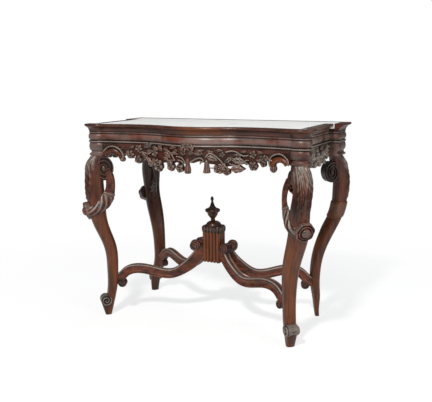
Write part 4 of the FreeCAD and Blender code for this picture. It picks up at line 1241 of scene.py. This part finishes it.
@dataclass
class Stretcher:
    """Four S-shaped arms that meet at a reeded hub with a capital and an urn finial."""

    finishes: Finishes
    reach_x: float = 409.0
    reach_y: float = 177.0
    ankle: float = 21.0
    level: float = 186.0
    rise: float = 24.0
    leg_height: float = 146.0
    half_height: float = 19.0
    half_width: float = 14.0
    root_at: Point = (78.0, 301.0)
    root_radius: float = 24.0
    root_turns: float = 2.0
    root_start: float = math.pi
    toe_at: Point = (384.0, 139.0)
    toe_radius: float = 19.0
    toe_turns: float = 1.6
    toe_start: float = 0.3
    roll_proud: float = 3.0
    dowel_radius: float = 4.5
    dowel_half: float = 20.0
    dowel_inset: float = 23.3
    dowel_lift: float = 8.5
    dowel_hub_at: Point = (39.6, 258.0)
    hub_length: float = 74.0
    hub_depth: float = 56.0
    hub_bottom: float = 232.0
    hub_top: float = 360.0
    core_inset: float = 1.0
    core_lift: float = 4.0
    reed_pitch: float = 14.5
    reed_round: float = 8.0
    reed_full: float = 20.0
    reed_sunk: float = -3.0
    capital_top: float = 386.0
    dome: float = 18.0
    urn_step: float = 3.0
    urn_lean: float = 0.03
    bowl_low: Point = (9.0, 14.0)
    bowl_high: Point = (34.0, 30.0)
    spire_span: Point = (46.0, 60.0)
    arm_line: tuple[Point, ...] = (
        (0.132, 4.90), (0.155, 3.50), (0.210, 2.20), (0.295, 0.88), (0.400, -0.12),
        (0.530, -0.04), (0.650, 0.48), (0.765, 0.66), (0.860, 0.08), (0.918, -0.90),
    )

    urn_line: tuple[Point, ...] = (
        (7.0, -2), (8.5, 3), (9.5, 5), (8.5, 9), (11.0, 14), (15.0, 19), (18.5, 25), (21.0, 31), (23.5, 36),
        (29.0, 40), (31.0, 44), (30.0, 49), (24.0, 52), (15.0, 57), (10.0, 64), (7.0, 73), (4.6, 81),
        (4.4, 85), (6.3, 89), (6.4, 94), (4.0, 100), (0.1, 104),
    )

    @property
    def ends(self) -> Point:
        """X and Y of the ankle that the front right arm runs to."""
        step = self.ankle * math.sqrt(0.5)
        return self.reach_x - step, self.reach_y - step

    @property
    def run(self) -> float:
        """Length of an arm from the table's middle to the ankle."""
        return math.hypot(*self.ends)

    def arm(self, root_depth: float) -> Surface:
        """Moulded section carried along the S: a cove in each side between beads, and a hollow on top.

        Args:
            root_depth: Share by which the lower half of the section grows towards the hub.

        Returns:
            Surface along X.
        """
        run = self.run
        given = [(run * share, self.level + self.rise * up) for share, up in self.arm_line]
        flat = line_through([*given, (run, self.leg_height)], 140)
        path = stack(flat[:, 0], 0.0, flat[:, 1])
        up = np.linspace(-1.0, 1.0, 25)
        away = np.abs(up)
        cove = 1.0 - 0.20 * np.exp(-(up / 0.42) ** 4) - 0.10 * bell(away, 0.70, 0.06)
        edge = np.sqrt(np.clip(1.0 - (np.clip(away - 0.86, 0.0, None) / 0.14) ** 2 * 0.35, 0.0, 1.0))
        wide = self.half_width * cove * edge
        over = np.linspace(-0.8, 0.8, 9)
        sunk = self.half_height * (1.0 - 0.10 * np.cos(over * np.pi / 1.7) ** 2)
        right = stack(wide, up * self.half_height)
        top = stack(-over * self.half_width, sunk)
        left = stack(-wide[::-1], up[::-1] * self.half_height)
        under = stack(over * self.half_width, -self.half_height)
        ring = np.concatenate([right, top, left, under])
        # Upper beads are paled more than lower ones with dust and painted highlight; the grooves beside the
        # beads, the hollow on top and the underside are darkened with painted shade.
        side = np.where(up > 0, 0.9, 0.2) * ease(away, 0.76, 0.86) - 0.6 * bell(away, 0.70, 0.08)
        crest = np.concatenate([side, 0.45 - 1.1 * bell(over, 0.0, 0.30), side[::-1],
                                np.full(len(over), -0.6)])
        ahead = np.gradient(path, axis=0)
        above = stack(-ahead[:, 2], ahead[:, 1], ahead[:, 0])
        deep = 1.0 + root_depth * ease(flat[:, :1], run * 0.40, run * 0.20) * (ring[:, 1] < 0)
        section = stack(ring[:, 0], ring[:, 1] * deep)
        beam = carry(path, section, above, crest, 0.25)
        root = self.roll(self.root_at, self.root_radius, self.root_turns, self.root_start)
        toe = self.roll(self.toe_at, self.toe_radius, self.toe_turns, self.toe_start)
        return Surface.joined([beam, root, toe])

    def roll(self, at: Point, radius: float, turns: float, start: float) -> Surface:
        """Volute at an arm's end: a ribbon along a falling spiral over a thinner disc, with an eye."""
        half = self.half_width + self.roll_proud
        flat = spiral(at, radius * 0.86, radius * 0.22, -turns, start, 80)
        path = stack(flat[:, 0], 0.0, flat[:, 1])
        ring = oval(half, radius * 0.14, 24, 3.5)
        outward = path - np.array([at[0], 0.0, at[1]])
        # The ribbon is darkened with painted shade except for a pale line of dust and painted highlight at
        # its edges; the disc inside the spiral is darkened more.
        ribbon = carry(path, ring, outward, 0.7 * (np.abs(ring[..., 0]) / half) ** 8 - 0.5)
        disc = drum(radius * 0.9, half * 0.76, 40)
        eye = turned(((0.1, -half), (radius * 0.2, -half * 0.97), (radius * 0.28, -half * 0.8),
                      (radius * 0.28, half * 0.8), (radius * 0.2, half * 0.97), (0.1, half)), 20,
                     smooth=False)

        def lay(points: Array) -> Array:
            """Lays the disc's axis across the arm."""
            return stack(at[0] + points[:, 0], points[:, 2], at[1] + points[:, 1])

        return Surface.joined([ribbon, closed(disc, -0.9).bent(lay), closed(eye, 0.1).bent(lay)])

    def dowels(self) -> Surface:
        """Two round pegs of an arm along X: one into the leg and one into the hub."""
        rings = drum(self.dowel_radius, self.dowel_half, 20)[..., [2, 1, 0]]
        middles = (self.run - self.dowel_inset, self.leg_height + self.dowel_lift), self.dowel_hub_at
        return Surface.joined([closed(rings + np.array([along, 0.0, high]), 0.0) for along, high in middles])

    def place(self, corner: Corner) -> Callable[[Array], Array]:
        """Placing function of an arm: turned from X to its corner's ankle, its outer half led to the leg.

        Args:
            corner: Corner that the arm runs to.

        Returns:
            Function from points along X to the table's frame.
        """
        x_end, y_end = self.ends
        angle = math.atan2(y_end, x_end)
        run = self.run
        out, aside = (step * math.sqrt(0.5) for step in HABITS[corner].shift(self.leg_height))

        def lay(points: Array) -> Array:
            """Turns points along X towards the corner and shifts them with the leg."""
            along, side, high = points.T
            led = ease(along, run * 0.45, run)
            high = high + HABITS[corner].arm_rise * ease(along, run * 0.18, run * 0.45)
            x = along * math.cos(angle) + side * math.sin(angle) + led * (out + aside)
            y = side * math.cos(angle) - along * math.sin(angle) + led * (aside - out)
            return corner.mirror(stack(x, y, high))

        return lay

    def reeds(self) -> list[tuple[float, float, Callable[[Array], Array]]]:
        """Every reed of the hub.

        Returns:
            The pitch, the reed's place on its side, and the placing function of that side.
        """
        half_x, half_y = self.hub_length / 2, self.hub_depth / 2
        sides = (
            (self.hub_length, lambda p: stack(p[:, 0], -half_y - p[:, 2], p[:, 1])),
            (self.hub_length, lambda p: stack(p[:, 0], half_y + p[:, 2], p[:, 1])),
            (self.hub_depth, lambda p: stack(-half_x - p[:, 2], p[:, 0], p[:, 1])),
            (self.hub_depth, lambda p: stack(half_x + p[:, 2], p[:, 0], p[:, 1])),
        )
        reeds = []
        for length, face in sides:
            count = round(length / self.reed_pitch)
            pitch = length / count
            reeds += [(pitch, place, face) for place in (np.arange(count) + 0.5) * pitch - length / 2]
        return reeds

    def hub(self) -> Surface:
        """Squared core with upright reeds on every side, each rounded off at its lower end."""
        heights = np.array([self.hub_bottom + self.core_lift, self.hub_top])
        path = stack(0.0, 0.0, heights)
        core = oval(self.hub_depth / 2 - self.core_inset, self.hub_length / 2 - self.core_inset, 64, 14.0)
        # The core behind the reeds and the reeds' backs are darkened with painted shade; the reeds' fronts
        # are left plain.
        parts = [carry(path, core, (1.0, 0.0, 0.0), -0.8, 0.2)]
        rise = np.linspace(0.0, 1.0, 9)
        tall = np.concatenate([self.hub_bottom + self.reed_round * (1 - np.cos(rise * np.pi / 2)),
                               np.linspace(self.hub_bottom + self.reed_full, self.hub_top, 8)])
        round_end = np.maximum(np.concatenate([np.sin(rise * np.pi / 2), np.ones(8)]), 0.02)
        front = np.clip(np.sin(around(16)), 0, 1)
        for pitch, place, face in self.reeds():
            line = stack(place, tall, self.reed_sunk)
            ring = oval(round_end * pitch * 0.48, round_end * pitch * 0.44, 16)
            parts.append(carry(line, ring, (0.0, 0.0, 1.0), front * 0.80 - 0.80, 0.75).bent(face))
        return Surface.joined(parts)

    def capital(self) -> Surface:
        """Swelling band of rounded-square rings with a row of tongue leaves on every side."""
        share = np.linspace(0.0, 1.0, 12)
        grow = spline(np.array([0.0, 0.45, 0.8, 1.0]), np.array([[0.0], [2.4], [4.6], [2.6]]), share)[:, 0]
        path = stack(0.0, 0.0, self.hub_top + share * (self.capital_top - self.hub_top))
        core = oval(self.hub_depth / 2 + grow, self.hub_length / 2 + grow, 64, 6.0)
        # The core behind the tongues is darkened with painted shade.
        parts = [carry(path, core, (1.0, 0.0, 0.0), -0.7)]
        for pitch, place, face in self.reeds():
            tongue = Leaf((place, self.capital_top - 1.0), (place, self.hub_top - 4.0), pitch * 0.52,
                          0.0, 7.0, 2.0)
            parts.append(tongue.surface().bent(face))
        return Surface.joined(parts)

    def finial(self) -> Surface:
        """Turned urn that leans a little left: neck, gadrooned bowl, rolled lip, hollow spire and bud."""
        base = self.capital_top + self.dome
        rings = turned([(radius, base + rise) for radius, rise in self.urn_line], 60, 110)
        turn = np.arctan2(rings[..., 1], rings[..., 0])
        rise = rings[..., 2] - base
        bowl = ease(rise, *self.bowl_low) * ease(rise, *self.bowl_high)
        flute = 1.0 + 0.05 * bowl * np.cos(10 * turn)
        rings = rings * stack(flute, flute, 1.0)
        spire = ease(rise, *self.spire_span)
        crest = np.clip(0.3 * bowl * np.cos(10 * turn) - 0.35 - 0.55 * spire, -1.0, 0.3)
        rings[..., 0] -= self.urn_step + self.urn_lean * rise
        return closed(rings, crest, 0.15 * (1.0 - spire))

    def build(self) -> None:
        """Makes the arms, the hub, the capital and the finial, and dresses them."""
        for corner in Corner:
            beam = self.arm(HABITS[corner].root_depth)
            put_piece(f"arm_{corner.label}", beam.bent(self.place(corner)), self.finishes.carved,
                      (f"stretcher_arm_{corner.label}",))
        pegs = Surface.joined([self.dowels().bent(self.place(corner)) for corner in Corner])
        put_piece("arm_pegs", pegs, self.finishes.inner, ("arm_dowels",), slot=Slot.INNER)
        wood = self.finishes.upright_wood
        put_piece("hub_reeds", self.hub(), wood, ("stretcher_hub",))
        put_piece("hub_capital", self.capital(), self.finishes.shaded_wood, ("stretcher_capital",),
                  CARVED_EDGE)
        put_piece("urn_finial", self.finial(), wood, ("finial",), CARVED_EDGE)
        paint(("finial_base",), self.finishes.shaded_wood)


@dataclass(frozen=True)
class Lamp:
    """Square soft lamp: its name, place, width, power and colour."""

    name: str
    at: Triple
    size: float
    power: float
    colour: Triple = (1.0, 0.98, 0.95)


@dataclass
class Studio:
    """Camera at the photograph's place, a white floor, soft lamps with the key in front, and a pale world."""

    camera_at: Triple = (1.17655, -2.35888, 0.9824)
    yaw: float = 26.28
    pitch: float = 10.63
    roll: float = -0.53
    lens: float = 54.44
    sensor: float = 36.0
    aim: Triple = (0.0, 0.0, 0.45)
    floor_half: float = 12.0
    room: Colour = (0.84, 0.94, 1.0, 1.0)
    room_strength: float = 0.15
    lamps: tuple[Lamp, ...] = (
        Lamp("key_front", (0.30, -3.60, 4.05), 0.45, 258.0),
        Lamp("front_fill", (0.7, -3.7, 1.5), 1.4, 5.0),
        Lamp("low_window", (-1.9, -3.4, 1.3), 1.2, 4.0),
        Lamp("fill_right", (3.4, -1.2, 1.8), 2.2, 58.0, (1.0, 0.98, 0.96)),
        Lamp("top_back", (0.4, 1.6, 3.4), 2.2, 30.0, (0.95, 0.98, 1.0)),
    )

    @staticmethod
    def stand(name: str, data: bpy.types.ID, axes: Sequence[Sequence[float]]) -> bpy.types.Object:
        """Object put in the scene.

        Args:
            name: Its name.
            data: Camera or lamp that it shows.
            axes: Its X, Y and Z axes and its place.

        Returns:
            The object.
        """
        thing = bpy.data.objects.new(name, data)
        thing.matrix_world = Matrix(np.vstack([np.column_stack(axes), (0.0, 0.0, 0.0, 1.0)]).tolist())
        bpy.context.scene.collection.objects.link(thing)
        return thing

    def camera(self) -> None:
        """Camera whose axes come from yaw, downward pitch and roll."""
        yaw, pitch, roll = (math.radians(angle) for angle in (self.yaw, self.pitch, self.roll))
        right = np.array([math.cos(yaw), math.sin(yaw), 0.0])
        level = np.array([-math.sin(yaw), math.cos(yaw), 0.0])
        ahead = level * math.cos(pitch) - np.array([0.0, 0.0, math.sin(pitch)])
        above = np.cross(right, ahead)
        across = math.cos(roll) * right + math.sin(roll) * above
        upward = math.cos(roll) * above - math.sin(roll) * right
        data = bpy.data.cameras.new("photo_camera")
        data.sensor_fit = "HORIZONTAL"
        data.sensor_width = self.sensor
        data.lens = self.lens
        bpy.context.scene.camera = self.stand("photo_camera", data, (across, upward, -ahead, self.camera_at))

    def light(self, lamp: Lamp) -> None:
        """Sets a lamp in its place, turned to a point on the table."""
        data = bpy.data.lights.new(lamp.name, "AREA")
        data.shape = "SQUARE"
        data.size = lamp.size
        data.energy = lamp.power
        data.color = lamp.colour
        back = unit(np.array(lamp.at) - np.array(self.aim))
        right = unit(np.cross((0.0, 0.0, 1.0), back))
        self.stand(lamp.name, data, (right, np.cross(back, right), back, lamp.at))

    def world(self) -> None:
        """Pale even world that the camera sees as white."""
        world = bpy.data.worlds.new("pale_room")
        bpy.context.scene.world = world
        sheet = Sheet(world)
        seen = sheet.node("ShaderNodeLightPath", {}, {}, "Is Camera Ray")
        room = sheet.node("ShaderNodeBackground", {}, {"Color": self.room, "Strength": self.room_strength})
        white = sheet.node("ShaderNodeBackground", {}, {"Color": WHITE, "Strength": 1.0})
        mixed = sheet.node("ShaderNodeMixShader", {}, {0: seen, 1: room, 2: white})
        sheet.finish(mixed, "ShaderNodeOutputWorld")

    def floor(self) -> None:
        """Wide flat floor at height 0."""
        mesh = bpy.data.meshes.new("floor")
        half = self.floor_half
        mesh.from_pydata([(-half, -half, 0.0), (half, -half, 0.0), (half, half, 0.0), (-half, half, 0.0)], [],
                         [(0, 1, 2, 3)])
        mesh.materials.append(PaleFloor("pale_floor").material())
        ground = bpy.data.objects.new("floor", mesh)
        bpy.context.scene.collection.objects.link(ground)

    def build(self) -> None:
        """Sets the stage."""
        self.floor()
        self.world()
        self.camera()
        for lamp in self.lamps:
            self.light(lamp)
        bpy.context.scene.view_settings.view_transform = "Standard"
        LOG.info("studio: camera, floor and lamps")


def main() -> None:
    """Builds the table from the top down, then the studio."""
    logging.basicConfig(level=logging.INFO, format="%(name)s %(message)s")
    finishes = Finishes()
    TopAndFrieze(finishes).dress()
    CarvedSkirts(finishes).build()
    legs = [Leg(corner, finishes) for corner in Corner]
    for leg in legs:
        leg.build()
    pegs = Surface.joined([leg.dowel() for leg in legs])
    put_piece("leg_pegs", pegs, finishes.inner, ("leg_dowels",), slot=Slot.INNER)
    Stretcher(finishes).build()
    Studio().build()


if __name__ == "__main__":
    main()
